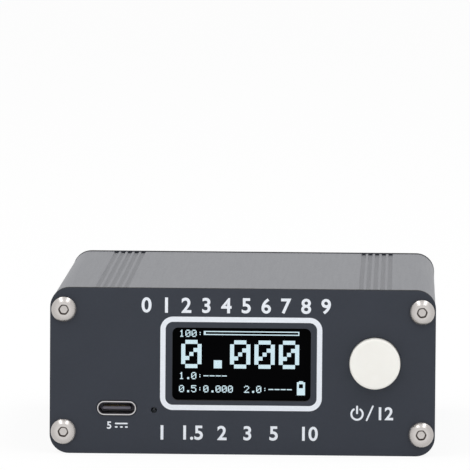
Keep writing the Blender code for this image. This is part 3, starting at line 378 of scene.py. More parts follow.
SOCKET_BOSS = 6.0 * MM
FLANGE_SCREW = 9.1 * MM


def circle(centre, radius, steps=64):
    """A closed round outline."""
    return arc(centre, radius, 0.0, 360.0 - 360.0 / steps, steps - 1)


def rounded_outline(x, z, width, height, corner, steps=12):
    """A closed rectangle round (x, z) with round corners."""
    points = []
    for quarter, (sx, sz) in enumerate(((1, 1), (-1, 1), (-1, -1), (1, -1))):
        centre = (x + sx * (width / 2 - corner), z + sz * (height / 2 - corner))
        points += arc(centre, corner, 90.0 * quarter, 90.0 * (quarter + 1), steps)
    return points


def flat_mesh(curve):
    """A flat curve or figures turned into a mesh, stood up in XZ with its depth along Y."""
    source = in_scene("source", curve)
    mesh = evaluated_mesh(source)
    bpy.data.objects.remove(source)
    mesh.transform(Matrix.Rotation(math.pi / 2, 4, "X"))
    return mesh


def plate(name, outlines, near_y, far_y, edge):
    """A plate standing in XZ, its first outline outside and the rest holes, with rounded rims."""
    curve = bpy.data.curves.new(name, "CURVE")
    curve.dimensions = "2D"
    curve.fill_mode = "BOTH"
    curve.extrude = (far_y - near_y) / 2 - edge
    curve.bevel_depth = edge
    curve.bevel_resolution = 2
    curve.offset = -edge
    for outline in outlines:
        spline = curve.splines.new("POLY")
        spline.points.add(len(outline) - 1)
        for point, (x, z) in zip(spline.points, outline):
            point.co = (x, z, 0.0, 1.0)
        spline.use_cyclic_u = True
    mesh = flat_mesh(curve)
    mesh.transform(Matrix.Translation((0, (near_y + far_y) / 2, 0)))
    shape = bmesh.new()
    shape.from_mesh(mesh)
    return clean_mesh(name, shape)


# Matt black solder mask over copper and glass cloth: a blue-black ink with an eggshell
# surface. Its mottling follows the cloth below, woven at about 0.5 mm, and the routed
# edge shows the browner laminate.
mask, tree, shader, place = new_finish("matt_black_solder_mask", {
    "Roughness": 0.55, "Specular IOR Level": 0.2,
})
cloth_weave = add_node(tree, "TexNoise", None, {
    "Vector": place, "Scale": 1 / (0.5 * MM), "Detail": 2.0,
})
ink_flow = add_node(tree, "TexNoise", None, {"Vector": place, "Scale": 1 / (9.0 * MM), "Detail": 2.0})
ink_mottle = add_node(tree, "Mix", {"data_type": "FLOAT"}, {0: 0.5, 2: cloth_weave, 3: ink_flow})
ink = add_node(tree, "Mix", {"data_type": "RGBA"}, {0: ink_mottle, 6: "#31353D", 7: "#393D46"})
facing = add_node(tree, "SeparateXYZ", None, {0: add_node(tree, "NewGeometry").outputs["Normal"]})
sideways = add_node(tree, "Math", {"operation": "ABSOLUTE"}, {0: facing.outputs["Y"]})
routed = add_node(tree, "Math", {"operation": "LESS_THAN"}, {0: sideways, 1: 0.5})
from_pinhole = add_node(tree, "VectorMath", {"operation": "DISTANCE"}, {
    0: add_node(tree, "VectorMath", {"operation": "MULTIPLY"}, {0: place, 1: (1, 0, 1)}),
    1: (LIGHT_X, 0, LIGHT_Z),
})
in_pinhole = add_node(tree, "Math", {"operation": "LESS_THAN"}, {
    0: from_pinhole.outputs["Value"], 1: LIGHT_HOLE + ROUTED_EDGE,
})
bare_edge = add_node(tree, "Mix", {"data_type": "RGBA"}, {0: in_pinhole, 6: "#2A2825", 7: "#44484F"})
laminate = add_node(tree, "Mix", {"data_type": "RGBA"}, {0: routed, 6: ink, 7: bare_edge})
ink_roughness = add_node(tree, "MapRange", None, {0: ink_mottle, 3: 0.5, 4: 0.62})
panel_roughness = add_node(tree, "Mix", {"data_type": "FLOAT"}, {0: routed, 2: ink_roughness, 3: 0.95})
ink_bump = add_node(tree, "Bump", None, {
    "Strength": 0.3, "Distance": 0.012 * MM, "Height": cloth_weave,
})
wire(shader, {"Base Color": laminate, "Roughness": panel_roughness, "Normal": ink_bump})

panel_outline = rounded_outline(0.0, MID_HEIGHT, CASE_WIDTH, CASE_HEIGHT, CASE_CORNER)
usb_hole = (USB_WIDTH + 2 * CLOSE_GAP, USB_HEIGHT + 2 * CLOSE_GAP)
front_outlines = [
    panel_outline, rounded_outline(*WINDOW),
    circle((BUTTON_X, BUTTON_Z), BUTTON_RADIUS + CLOSE_GAP),
    rounded_outline(USB_X, USB_Z, *usb_hole, USB_HEIGHT / 2 + CLOSE_GAP),
    circle((LIGHT_X, LIGHT_Z), LIGHT_HOLE, 24),
]
front_outlines += [circle(spot, SCREW_HOLE, 32) for spot in PANEL_SCREWS]
front_mesh = plate("front_plate", front_outlines, FRONT_FACE, FRONT_INNER, ROUTED_EDGE)
add_piece("front_plate", front_mesh, mask, "panel_black", "front_panel")

FLANGE_SCREWS = [
    (centre + sx * FLANGE_SCREW, MID_HEIGHT + sz * FLANGE_SCREW)
    for centre in (-SOCKET_X, SOCKET_X)
    for sx in (-1, 1)
    for sz in (-1, 1)
]
rear_outlines = [panel_outline]
rear_outlines += [circle(spot, SCREW_HOLE, 32) for spot in PANEL_SCREWS + FLANGE_SCREWS]
rear_outlines += [circle((x, MID_HEIGHT), SOCKET_BOSS + PART_GAP) for x in (-SOCKET_X, SOCKET_X)]
rear_mesh = plate("rear_plate", rear_outlines, REAR_INNER, REAR_FACE, ROUTED_EDGE)
add_piece("rear_plate", rear_mesh, mask, "panel_black", "rear_panel")


# Print on the panels
# White ink legends, screen printed on the mask and a few hundredths of a millimetre
# thick: a line round the window, plain figures, and the marks beside the controls.
INK_PROUD = 0.03 * MM
INK_SUNK = 0.02 * MM
INK_EDGE = 0.005 * MM
STROKE = 0.5 * MM
FRAME_LINE = 1.19 * MM


def figures(text, x, z, height, bold=0.022):
    """Plain printed figures, their middle at (x, z)."""
    curve = bpy.data.curves.new("figures", "FONT")
    curve.body = text
    curve.size = 1.0
    curve.offset = bold
    curve.resolution_u = 6
    curve.extrude = (INK_PROUD + INK_SUNK) / 2 / height
    mesh = flat_mesh(curve)
    low = Vector([min(v.co[i] for v in mesh.vertices) for i in range(3)])
    high = Vector([max(v.co[i] for v in mesh.vertices) for i in range(3)])
    middle = (low + high) / 2
    grow = height / (high.z - low.z)
    mesh.transform(Matrix.Translation((x, 0, z)) @ Matrix.Scale(grow, 4) @ Matrix.Translation(-middle))
    return mesh


def stroke(points, width=STROKE):
    """A printed line of even width with round ends, through points in XZ."""
    outline = []
    back = []
    angles = []
    for i, (x, z) in enumerate(points):
        before = Vector(points[max(i - 1, 0)])
        after = Vector(points[min(i + 1, len(points) - 1)])
        along = (after - before).normalized()
        side = Vector((-along.y, along.x)) * width / 2
        outline.append((x + side.x, z + side.y))
        back.append((x - side.x, z - side.y))
        angles.append(math.degrees(math.atan2(along.y, along.x)))
    start_cap = arc(points[0], width / 2, angles[0] + 90.0, angles[0] + 270.0, 8)[1:-1]
    end_cap = arc(points[-1], width / 2, angles[-1] + 90.0, angles[-1] - 90.0, 8)[1:-1]
    loop = outline + end_cap + list(reversed(back)) + list(reversed(start_cap))
    return plate("stroke", [loop], -INK_SUNK, INK_PROUD, INK_EDGE)


def printed(name, meshes, face_y, finish, turn=False):
    """Joins the marks of one panel and lays them on its face, turned round for the rear."""
    shape = bmesh.new()
    for mesh in meshes:
        shape.from_mesh(mesh)
    low = min(v.co.y for v in shape.verts)
    high = max(v.co.y for v in shape.verts)
    sink = INK_SUNK - INK_PROUD
    bmesh.ops.translate(shape, verts=shape.verts, vec=(0, (sink - low - high) / 2, 0))
    if turn:
        bmesh.ops.rotate(shape, verts=shape.verts, cent=(0, 0, 0), matrix=Matrix.Rotation(math.pi, 3, "Z"))
    bmesh.ops.translate(shape, verts=shape.verts, vec=(0, face_y, 0))
    add_piece(name, clean_mesh(name, shape), finish, "panel_black")


# Screen printed white epoxy ink: an even cool white, slightly thinner where the mesh of
# the screen lay, and duller than the mask round it. The screen's mesh is drawn at 0.3 mm.
print_white, tree, shader, place = new_finish("screen_printed_white_epoxy_ink", {"Roughness": 0.6})
screen_mesh = add_node(tree, "TexNoise", None, {"Vector": place, "Scale": 1 / (0.3 * MM), "Detail": 2.0})
ink_cover = add_node(tree, "Mix", {"data_type": "RGBA"}, {0: screen_mesh, 6: "#DCE1E9", 7: "#EEF2F8"})
print_bump = add_node(tree, "Bump", None, {
    "Strength": 0.2, "Distance": 0.008 * MM, "Height": screen_mesh,
})
wire(shader, {"Base Color": ink_cover, "Normal": print_bump})

frame_outer = rounded_outline(-0.335 * MM, 20.825 * MM, 36.93 * MM, 21.41 * MM, 2.9 * MM)
frame_inner = rounded_outline(
    -0.335 * MM, 20.825 * MM, 36.93 * MM - 2 * FRAME_LINE, 21.41 * MM - 2 * FRAME_LINE,
    2.9 * MM - FRAME_LINE,
)
front_marks = [plate("window_line", [frame_outer, frame_inner], -INK_SUNK, INK_PROUD, INK_EDGE)]
for i in range(10):
    front_marks.append(figures(str(i), (-22.0 + 4.55 * i) * MM, 34.15 * MM, 3.5 * MM))
for text, x in (("1", -18.3), ("1.5", -11.2), ("2", -4.6), ("3", 1.2), ("5", 7.2), ("10", 15.5)):
    front_marks.append(figures(text, x * MM, 4.95 * MM, 3.3 * MM))

# Under the charging socket: the figure 5 and the mark for direct current.
front_marks.append(figures("5", -30.4 * MM, 6.5 * MM, 1.7 * MM))
front_marks.append(stroke([(-28.9 * MM, 6.9 * MM), (-26.3 * MM, 6.9 * MM)], 0.35 * MM))
for x in (-28.75, -27.6, -26.45):
    front_marks.append(stroke([(x * MM - 0.15 * MM, 6.1 * MM), (x * MM + 0.15 * MM, 6.1 * MM)], 0.35 * MM))

# Under the button: the mark for standby, a slash and the figures of its two pages.
standby = arc((26.2 * MM, 9.6 * MM), 1.3 * MM, 125.0, 415.0, 28)
front_marks.append(stroke(standby, 0.45 * MM))
front_marks.append(stroke([(26.2 * MM, 9.8 * MM), (26.2 * MM, 11.3 * MM)], 0.45 * MM))
front_marks.append(stroke([(28.4 * MM, 8.2 * MM), (29.8 * MM, 11.4 * MM)], 0.4 * MM))
front_marks.append(figures("12", 32.8 * MM, 9.75 * MM, 3.0 * MM))
printed("front_print", front_marks, FRONT_FACE, print_white)

# By the rear sockets: their plain figures.
rear_marks = [figures("1", -SOCKET_X, 34.4 * MM, 2.8 * MM), figures("2", SOCKET_X, 34.4 * MM, 2.8 * MM)]
printed("rear_print", rear_marks, REAR_FACE, print_white, turn=True)

# Display
# A small self-lit panel: two sheets of glass with a black filter on the front, held
# behind the window by its board. Only the lit cells give light, so the rest stays black.
GLASS_FACE = -49.7 * MM
CELL_PITCH_X = 0.2323 * MM
CELL_PITCH_Z = 0.2312 * MM
CELL_SIZE = 0.222 * MM
CELL_PROUD = 0.02 * MM
FIRST_CELL = (-14.43 * MM, 28.25 * MM)
FIGURE_COLUMNS = {
    "0": (0x3E, 0x51, 0x49, 0x45, 0x3E), "1": (0x00, 0x42, 0x7F, 0x40, 0x00),
    "2": (0x42, 0x61, 0x51, 0x49, 0x46), "5": (0x27, 0x45, 0x45, 0x45, 0x39),
    ".": (0x00, 0x00, 0x60, 0x60, 0x00), ":": (0x00, 0x00, 0x14, 0x00, 0x00),
    "-": (0x08, 0x08, 0x08, 0x08, 0x08),
}

# Float glass under a black polarising film: deep black with a hard, faint gloss, because
# the film drinks nearly all that the glass would mirror. Dust shows as dull specks.
filter_glass, tree, shader, place = new_finish("black_filtered_display_glass", {
    "Roughness": 0.08, "Specular IOR Level": 0.015, "IOR": 1.5,
})
dust = add_node(tree, "TexVoronoi", {"feature": "F1"}, {"Vector": place, "Scale": 1 / (1.8 * MM)})
dust_speck = add_node(tree, "Math", {"operation": "LESS_THAN"}, {0: dust, 1: 0.035})
film_tone = add_node(tree, "Mix", {"data_type": "RGBA"}, {0: dust_speck, 6: "#020203", 7: "#131416"})
smear = add_node(tree, "TexNoise", None, {"Vector": place, "Scale": 1 / (7.0 * MM), "Detail": 3.0})
film_gloss = add_node(tree, "MapRange", None, {0: smear, 3: 0.05, 4: 0.14})
wire(shader, {"Base Color": film_tone, "Roughness": film_gloss})


def paint(finish, *names):
    """Gives solids of the frame their finish, on every slot of each."""
    for name in names:
        for piece_slot in nodes[name].material_slots:
            piece_slot.material = finish


paint(filter_glass, "oled_glass")

# Lit cells: an even, slightly cold white light, a little weaker in some cells than others.
lit, tree, shader, place = new_finish("lit_display_cell", {
    "Base Color": "#000000", "Specular IOR Level": 0.0, "Emission Strength": 1.0,
})
cell_light = mottle(tree, place, 1.5 * MM, 2.0, "#D0E9F3", "#DDF6FE")
wire(shader, {"Emission Color": cell_light})


def lit_figures(text, column, row, times=1):
    """The cells that figures five wide and seven high light, each cell drawn times over."""
    cells = []
    for place_in_text, figure in enumerate(text):
        for across, bits in enumerate(FIGURE_COLUMNS[figure]):
            for down in (n for n in range(7) if bits >> n & 1):
                left = column + (6 * place_in_text + across) * times
                top = row + down * times
                cells += [(left + i, top + j) for i in range(times) for j in range(times)]
    return cells


def lit_block(left, right, top, bottom):
    """All the cells of a rectangle, both ends included."""
    return [(c, r) for c in range(left, right + 1) for r in range(top, bottom + 1)]


cells = lit_figures("100:", 0, 0)
cells += lit_figures("0.000", 2, 10, times=4)
cells += lit_figures("1.0:----", 0, 42)
cells += lit_figures("0.5:0.000", 0, 55)
cells += lit_figures("2.0:----", 64, 55)
bar_outline = set(lit_block(24, 117, 1, 4)) - set(lit_block(26, 116, 2, 3))
battery_mark = set(lit_block(116, 123, 51, 63)) - set(lit_block(118, 121, 53, 56))
cells += sorted(bar_outline | battery_mark) + lit_block(118, 121, 50, 50)


def new_tree(name, sizes):
    """A geometry tree with named inputs for its sizes; returns it and its inputs."""
    tree = bpy.data.node_groups.new(name, "GeometryNodeTree")
    tree.interface.new_socket("Geometry", in_out="INPUT", socket_type="NodeSocketGeometry")
    for label, kind in sizes.items():
        tree.interface.new_socket(label, in_out="INPUT", socket_type="NodeSocket" + kind)
    tree.interface.new_socket("Material", in_out="INPUT", socket_type="NodeSocketMaterial")
    tree.interface.new_socket("Geometry", in_out="OUTPUT", socket_type="NodeSocketGeometry")
    return tree, add_node(tree, "NodeGroupInput").outputs


def end_tree(tree, geometry, finish):
    """Closes a tree: instances made real, then the finish set on all of it."""
    real = add_node(tree, "GeometryNodeRealizeInstances", None, {0: geometry})
    finished = add_node(tree, "GeometryNodeSetMaterial", None, {"Geometry": real, "Material": finish})
    add_node(tree, "NodeGroupOutput", None, {0: finished})


def grown(mesh, tree, values):
    """What a tree makes of a mesh, with its named inputs set, as a plain mesh."""
    source = in_scene("source", mesh)
    modifier = source.modifiers.new("tree", "NODES")
    modifier.node_group = tree
    for item in tree.interface.items_tree:
        if item.in_out == "INPUT" and item.name in values:
            modifier[item.identifier] = values[item.name]
    result = evaluated_mesh(source)
    bpy.data.objects.remove(source)
    return result


# One small block stands on each lit cell's point.
cell_tree, sizes = new_tree("lit_cells", {"Cell Size": "Vector"})
cell_block = add_node(cell_tree, "GeometryNodeMeshCube", None, {"Size": sizes["Cell Size"]})
cell_blocks = add_node(cell_tree, "GeometryNodeInstanceOnPoints", None, {
    "Points": sizes["Geometry"], "Instance": cell_block,
})
end_tree(cell_tree, cell_blocks, sizes["Material"])
cell_points = bpy.data.meshes.new("cell_points")
cell_points.from_pydata([
    (FIRST_CELL[0] + c * CELL_PITCH_X, GLASS_FACE - CELL_PROUD / 2, FIRST_CELL[1] - r * CELL_PITCH_Z)
    for c, r in cells
], [], [])
lit_mesh = grown(cell_points, cell_tree, {"Cell Size": (CELL_SIZE, CELL_PROUD, CELL_SIZE), "Material": lit})
add_piece("lit_cells", lit_mesh, lit, "display_glass")


# Power button
# A round cap moulded in warm white ABS, its front edge rounded. A flange behind the panel
# keeps it in, and a boss inside grips the square stem of the switch.
BUTTON_FACE = -54.6 * MM
BUTTON_EDGE = 0.5 * MM
BUTTON_SEAT = -49.7 * MM
BUTTON_BACK = -48.9 * MM


def hexagon(across_flats):
    """The radius of a hexagon at any angle."""
    def reach(angle):
        turn = (angle + math.pi / 6) % (math.pi / 3) - math.pi / 6
        return across_flats / 2 / math.cos(turn)
    return reach


def square(across_flats):
    """The radius of a square at any angle."""
    def reach(angle):
        turn = (angle + math.pi / 4) % (math.pi / 2) - math.pi / 4
        return across_flats / 2 / math.cos(turn)
    return reach


def turned_shape(profile, sides=64, looped=False):
    """A turned solid about the Y axis from places along Y, each with a radius or a rule for it."""
    shape = bmesh.new()
    rings = []
    for y, radius in profile:
        if radius == 0:
            rings.append([shape.verts.new((0, y, 0))])
            continue
        ring = []
        for i in range(sides):
            angle = math.tau * i / sides
            reach = radius(angle) if callable(radius) else radius
            ring.append(shape.verts.new((reach * math.cos(angle), y, reach * math.sin(angle))))
        rings.append(ring)
    pairs = list(zip(rings, rings[1:]))
    if looped:
        pairs.append((rings[-1], rings[0]))
    for one, other in pairs:
        for i in range(sides):
            corners = [one[i % len(one)], one[(i + 1) % len(one)]]
            corners += [other[(i + 1) % len(other)], other[i % len(other)]]
            shape.faces.new(list(dict.fromkeys(corners)))
    return shape


def moved(shape, x=0.0, y=0.0, z=0.0):
    """The same shape, shifted."""
    bmesh.ops.translate(shape, verts=shape.verts, vec=(x, y, z))
    return shape


def textured(tree, shader, tone, marks, roughness, strength, depth):
    """Gives a shader its tone, and fine marks that show as changing gloss and as relief."""
    gloss = add_node(tree, "MapRange", None, {0: marks, 3: roughness[0], 4: roughness[1]})
    relief = add_node(tree, "Bump", None, {"Strength": strength, "Distance": depth, "Height": marks})
    wire(shader, {"Base Color": tone, "Roughness": gloss, "Normal": relief})


# Moulded ABS, warm white: a satin skin from the mould's fine spark finish, about 0.05 mm,
# drawn at 0.25 mm so that it shows, and a slight clouding of the colour below it.
def moulded_plastic(name, dark, light, roughness, grain=0.25 * MM):
    """An injection moulded plastic between two close tones, with the grain of its mould."""
    finish, tree, shader, place = new_finish(name, {"IOR": 1.5, "Specular IOR Level": 0.4})
    tone = mottle(tree, place, 3.0 * MM, 2.0, dark, light)
    spark_grain = add_node(tree, "TexNoise", None, {"Vector": place, "Scale": 1 / grain, "Detail": 2.0})
    textured(tree, shader, tone, spark_grain, (roughness - 0.05, roughness + 0.07), 0.2, 0.01 * MM)
    return finish


white_abs = moulded_plastic("moulded_warm_white_abs", "#EEECE6", "#F3F2ED", 0.45)
cap_rim = arc((BUTTON_FACE + BUTTON_EDGE, BUTTON_RADIUS - BUTTON_EDGE), BUTTON_EDGE, 180.0, 90.0, 8)
cap_profile = [(BUTTON_FACE, 0), (BUTTON_FACE, 2.6 * MM)] + cap_rim
cap_profile += [(BUTTON_SEAT, BUTTON_RADIUS), (BUTTON_SEAT, 6.48 * MM), (BUTTON_BACK, 6.48 * MM)]
cap_profile += [(BUTTON_BACK, 4.78 * MM), (-53.4 * MM, 4.78 * MM), (-53.4 * MM, 3.6 * MM)]
cap_profile += [(BUTTON_BACK, 3.6 * MM), (BUTTON_BACK, square(4.4 * MM))]
cap_profile += [(-52.3 * MM, square(4.4 * MM)), (-52.3 * MM, 0)]
cap_shape = moved(turned_shape(cap_profile, 96), x=BUTTON_X, z=BUTTON_Z)
cap_mesh = clean_mesh("round_button_cap", cap_shape, 24.0)
add_piece("round_button_cap", cap_mesh, white_abs, "plastic_white", "button_cap", body="button")

# The switch behind it: black moulded stem and base, stamped cover, snap dome of spring steel.
black_plastic = moulded_plastic("moulded_black_nylon", "#1B1B1C", "#222224", 0.5)
paint(black_plastic, "switch_stem", "switch_base")


def plated_metal(name, dull, bright, rough, streak=(1.0, 1.0, 1.0)):
    """A plated or rolled metal between two close tones, its fine marks drawn out along an axis."""
    finish, tree, shader, place = new_finish(name, {"Metallic": 1.0})
    run = add_node(tree, "Mapping", None, {"Vector": place, "Scale": streak})
    marks = add_node(tree, "TexNoise", None, {"Vector": run, "Scale": 1 / (0.3 * MM), "Detail": 4.0})
    tone = mottle(tree, place, 4.0 * MM, 3.0, dull, bright)
    textured(tree, shader, tone, marks, (rough - 0.06, rough + 0.08), 0.15, 0.006 * MM)
    return finish


# Cold rolled steel with a tin plate: bright grey with soft rolling lines along X.
tinned_steel = plated_metal("tin_plated_rolled_steel", "#B9B8B4", "#C8C7C4", 0.3, (0.1, 1.0, 1.0))
# Spring steel sheet, hard and nearly mirror bright.
spring_steel = plated_metal("polished_spring_steel", "#C2C1BE", "#CFCECB", 0.2)
paint(tinned_steel, "switch_cover")
paint(spring_steel, "switch_dome")


# Charging socket
# A small oval receptacle: a drawn stainless shell with a rolled mouth, and inside it a grey
# nylon tongue that carries twelve gold contacts on each face.
USB_FRONT = -51.9 * MM
USB_BACK = -44.2 * MM
USB_PLUG_END = -45.7 * MM
USB_SHEET = 0.3 * MM
USB_MOUTH = (-51.82 * MM, -51.6 * MM)
TONGUE_FRONT = -50.9 * MM
TONGUE_WIDTH = 6.5 * MM
TONGUE_THICKNESS = 0.7 * MM
CONTACT_PITCH = 0.5 * MM
CONTACT_SIZE = (0.26 * MM, 3.2 * MM, 0.05 * MM)


def joined(name, meshes, sharp_angle=30.0):
    """Several meshes as one."""
    shape = bmesh.new()
    for mesh in meshes:
        shape.from_mesh(mesh)
    return clean_mesh(name, shape, sharp_angle)


shell_outer = rounded_outline(USB_X, USB_Z, USB_WIDTH, USB_HEIGHT, USB_HEIGHT / 2)
inner_height = USB_HEIGHT - 2 * USB_SHEET
shell_inner = rounded_outline(USB_X, USB_Z, USB_WIDTH - 2 * USB_SHEET, inner_height, inner_height / 2)
usb_mesh = joined("usb_socket_shell", [
    plate("usb_tube", [shell_outer, shell_inner], USB_FRONT, USB_BACK, 0.1 * MM),
    plate("usb_back", [shell_inner], USB_PLUG_END, USB_BACK, 0.02 * MM),
])
# Stainless steel sheet, drawn and tumbled: its rolled mouth is bright and a little warm, and
# its inner walls are rougher and painted darker, as painted shade.
drawn_steel, tree, shader, place = new_finish("drawn_stainless_sheet", {"Metallic": 1.0})
bright_steel = mottle(tree, place, 0.4 * MM, 3.0, "#C0BEBF", "#D4D2D3")
into_mouth = add_node(tree, "MapRange", {"interpolation_type": "SMOOTHSTEP"}, {
    0: add_node(tree, "SeparateXYZ", None, {0: place}).outputs["Y"], 1: USB_MOUTH[0],
    2: USB_MOUTH[1], 3: 0.0, 4: 1.0,
})
# Painted shade: the steel is painted darker from the mouth inwards.
painted_inner_shade = add_node(tree, "Mix", {"data_type": "RGBA"}, {0: into_mouth, 6: bright_steel, 7: "#8A888F"})
mouth_polish = add_node(tree, "MapRange", None, {0: into_mouth, 3: 0.36, 4: 0.6})
wire(shader, {"Base Color": painted_inner_shade, "Roughness": mouth_polish})
add_piece("usb_socket_shell", usb_mesh, drawn_steel, "sheet_steel", "usb_shell")

# Glass filled nylon, mid grey.
grey_nylon = moulded_plastic("glass_filled_grey_nylon", "#5E5C65", "#6B6972", 0.5, 0.2 * MM)
tongue_outline = rounded_outline(USB_X, USB_Z, TONGUE_WIDTH, TONGUE_THICKNESS, 0.25 * MM, 4)
tongue_mesh = plate("usb_contact_tongue", [tongue_outline], TONGUE_FRONT, USB_PLUG_END, 0.2 * MM)
add_piece("usb_contact_tongue", tongue_mesh, grey_nylon, "plastic_grey", "usb_tongue")

# The gold contacts stand in two rows, one on each face of the tongue.
contact_tree, sizes = new_tree("contact_rows", {"Count": "Int", "Pitch": "Vector", "Contact Size": "Vector"})
contact_row = add_node(contact_tree, "GeometryNodeMeshLine", {"mode": "OFFSET"}, {
    "Count": sizes["Count"], "Offset": sizes["Pitch"],
})
contact_bar = add_node(contact_tree, "GeometryNodeMeshCube", None, {"Size": sizes["Contact Size"]})
contact_bars = add_node(contact_tree, "GeometryNodeInstanceOnPoints", None, {
    "Points": contact_row, "Instance": contact_bar,
})
contact_rows = add_node(contact_tree, "GeometryNodeInstanceOnPoints", None, {
    "Points": sizes["Geometry"], "Instance": contact_bars,
})
end_tree(contact_tree, contact_rows, sizes["Material"])
row_starts = bpy.data.meshes.new("row_starts")
contact_y = TONGUE_FRONT + 1.0 * MM + CONTACT_SIZE[1] / 2
row_starts.from_pydata([
    (USB_X - 5.5 * CONTACT_PITCH, contact_y, USB_Z + side * TONGUE_THICKNESS / 2) for side in (-1, 1)
], [], [])
# Hard gold over nickel on copper: a clear yellow with wiping marks along the plug's way in.
hard_gold = plated_metal("hard_gold_plate", "#D9B65A", "#E6C770", 0.22, (1.0, 0.1, 1.0))
contact_mesh = grown(row_starts, contact_tree, {
    "Count": 12, "Pitch": (CONTACT_PITCH, 0, 0), "Contact Size": CONTACT_SIZE,
    "Material": hard_gold,
})
add_piece("usb_contacts", contact_mesh, hard_gold, "gold")


# Screws
# Sixteen M3 button head screws with a 2 mm hex socket: four in each panel's corners, and
# four in each rear socket's flange. Turned from stainless steel and left bright.
HEAD_RADIUS = 2.86 * MM
HEAD_TOP_RADIUS = 1.45 * MM
HEAD_HEIGHT = 1.55 * MM
HEAD_RIM = 0.6 * MM
HEX_KEY = 2.15 * MM
HEX_TAPER = 0.42 * MM
HEX_FLOOR = 0.8 * MM
FLOOR_REACH = 0.82 * MM
# The share of the socket's painted shade that lies on its floor.
FLOOR_SHADE = 0.12
SHANK_RADIUS = 1.2 * MM
FLANGE_FACE = 53.5 * MM

dome_height = HEAD_HEIGHT - HEAD_RIM
dome_reach = HEAD_RADIUS - HEAD_TOP_RADIUS
dome = [
    (HEAD_HEIGHT - dome_height * (i / 10) ** 2, HEAD_TOP_RADIUS + dome_reach * i / 10)
    for i in range(11)
]
head_profile = [(HEX_FLOOR - 0.3 * MM, 0), (HEX_FLOOR, 0.8 * MM), (HEX_FLOOR, hexagon(HEX_KEY - HEX_TAPER))]
head_profile += [(HEAD_HEIGHT - 0.05 * MM, hexagon(HEX_KEY)), (HEAD_HEIGHT - 0.01 * MM, 1.27 * MM)]
head_profile += dome + [(0.06 * MM, HEAD_RADIUS), (0.01 * MM, HEAD_RADIUS - 0.05 * MM), (0.01 * MM, 0)]
head_mesh = clean_mesh("screw_head", turned_shape(head_profile, 48), 20.0)

# Two marks for the material: the painted shade in the socket, which is 1 on its walls and
# slight on its floor, and each point's distance from the axis.
distances = [math.hypot(vertex.co.x, vertex.co.z) for vertex in head_mesh.vertices]
socket_shade_values = []
for vertex, distance in zip(head_mesh.vertices, distances):
    on_wall = HEX_FLOOR - 0.01 * MM < vertex.co.y < HEAD_HEIGHT - 0.02 * MM
    in_mouth = FLOOR_REACH < distance < 1.25 * MM
    socket_shade_values.append(1.0 if on_wall and in_mouth else FLOOR_SHADE * (distance < FLOOR_REACH))
mark_points(head_mesh, "painted_socket_shade", socket_shade_values)
mark_points(head_mesh, "from_axis", distances)
screw_head = in_scene("screw_head", head_mesh)

# Stainless steel, turned and tumbled, with tool marks in rings. It is painted brighter round
# the socket and greyer towards the rim: a painted highlight. The socket's walls are painted
# dark brown as painted shade.
stainless = plated_metal("turned_stainless_steel", "#B6B1AE", "#C6C2BF", 0.24)
tree = stainless.node_tree
shader = tree.nodes["Principled BSDF"]
steel_tone = shader.inputs["Base Color"].links[0].from_socket
axis_distance = add_node(tree, "Attribute", {"attribute_name": "from_axis"}).outputs["Fac"]
towards_rim = add_node(tree, "MapRange", None, {
    0: axis_distance, 1: 1.3 * MM, 2: 2.3 * MM, 3: 0.36, 4: 0.0,
})
# Painted highlight: the crown round the socket is painted brighter.
painted_crown_highlight = add_node(tree, "Mix", {"data_type": "RGBA"}, {
    0: towards_rim, 6: steel_tone, 7: "#F2EDEA",
})
# Painted shade: the socket's walls, and slightly its floor, are painted dark brown.
with_socket_shade = add_node(tree, "Mix", {"data_type": "RGBA"}, {
    0: add_node(tree, "Attribute", {"attribute_name": "painted_socket_shade"}).outputs["Fac"],
    6: painted_crown_highlight, 7: "#4A423B",
})
ring_marks = add_node(tree, "TexNoise", {"noise_dimensions": "1D"}, {
    "W": axis_distance, "Scale": 1 / (0.12 * MM), "Detail": 2.0,
})
ring_bump = add_node(tree, "Bump", None, {
    "Strength": 0.5, "Distance": 0.01 * MM, "Height": ring_marks,
    "Normal": shader.inputs["Normal"].links[0].from_socket,
})
wire(shader, {"Base Color": with_socket_shade, "Normal": ring_bump})

screw_tree, sizes = new_tree("panel_and_flange_screws", {
    "Head": "Object", "Shank Radius": "Float", "Seed": "Int",
})
head = add_node(screw_tree, "GeometryNodeObjectInfo", None, {"Object": sizes["Head"]})
shank = add_node(screw_tree, "GeometryNodeMeshCylinder", {"fill_type": "NGON"}, {
    "Vertices": 24, "Radius": sizes["Shank Radius"], "Depth": 1.0,
})
shank_below = add_node(screw_tree, "GeometryNodeTransform", None, {
    "Geometry": shank, "Translation": (0, -0.5, 0), "Rotation": (math.pi / 2, 0, 0),
})
outward = add_node(screw_tree, "GeometryNodeInputNamedAttribute", {"data_type": "FLOAT_VECTOR"}, {
    "Name": "outward",
})
aimed = add_node(screw_tree, "FunctionNodeAlignRotationToVector", {"axis": "Y", "pivot_axis": "Z"}, {
    "Vector": outward,
})
chance = add_node(screw_tree, "FunctionNodeRandomValue", {"data_type": "FLOAT"}, {
    2: 0.0, 3: math.tau, "Seed": sizes["Seed"],
})
tightened = add_node(screw_tree, "FunctionNodeAxisAngleToRotation", None, {
    "Axis": (0, 1, 0), "Angle": chance,
})
resting = add_node(screw_tree, "FunctionNodeRotateRotation", {"rotation_space": "LOCAL"}, {
    "Rotation": aimed, "Rotate By": tightened,
})
heads = add_node(screw_tree, "GeometryNodeInstanceOnPoints", None, {
    "Points": sizes["Geometry"], "Instance": head.outputs["Geometry"], "Rotation": resting,
})
length = add_node(screw_tree, "GeometryNodeInputNamedAttribute", {"data_type": "FLOAT"}, {"Name": "length"})
stretch = add_node(screw_tree, "CombineXYZ", None, {"X": 1.0, "Y": length, "Z": 1.0})
shanks = add_node(screw_tree, "GeometryNodeInstanceOnPoints", None, {
    "Points": sizes["Geometry"], "Instance": shank_below, "Rotation": resting, "Scale": stretch,
})
all_screws = add_node(screw_tree, "GeometryNodeJoinGeometry")
for part in (heads, shanks):
    wire(all_screws, {0: part})
end_tree(screw_tree, all_screws, sizes["Material"])

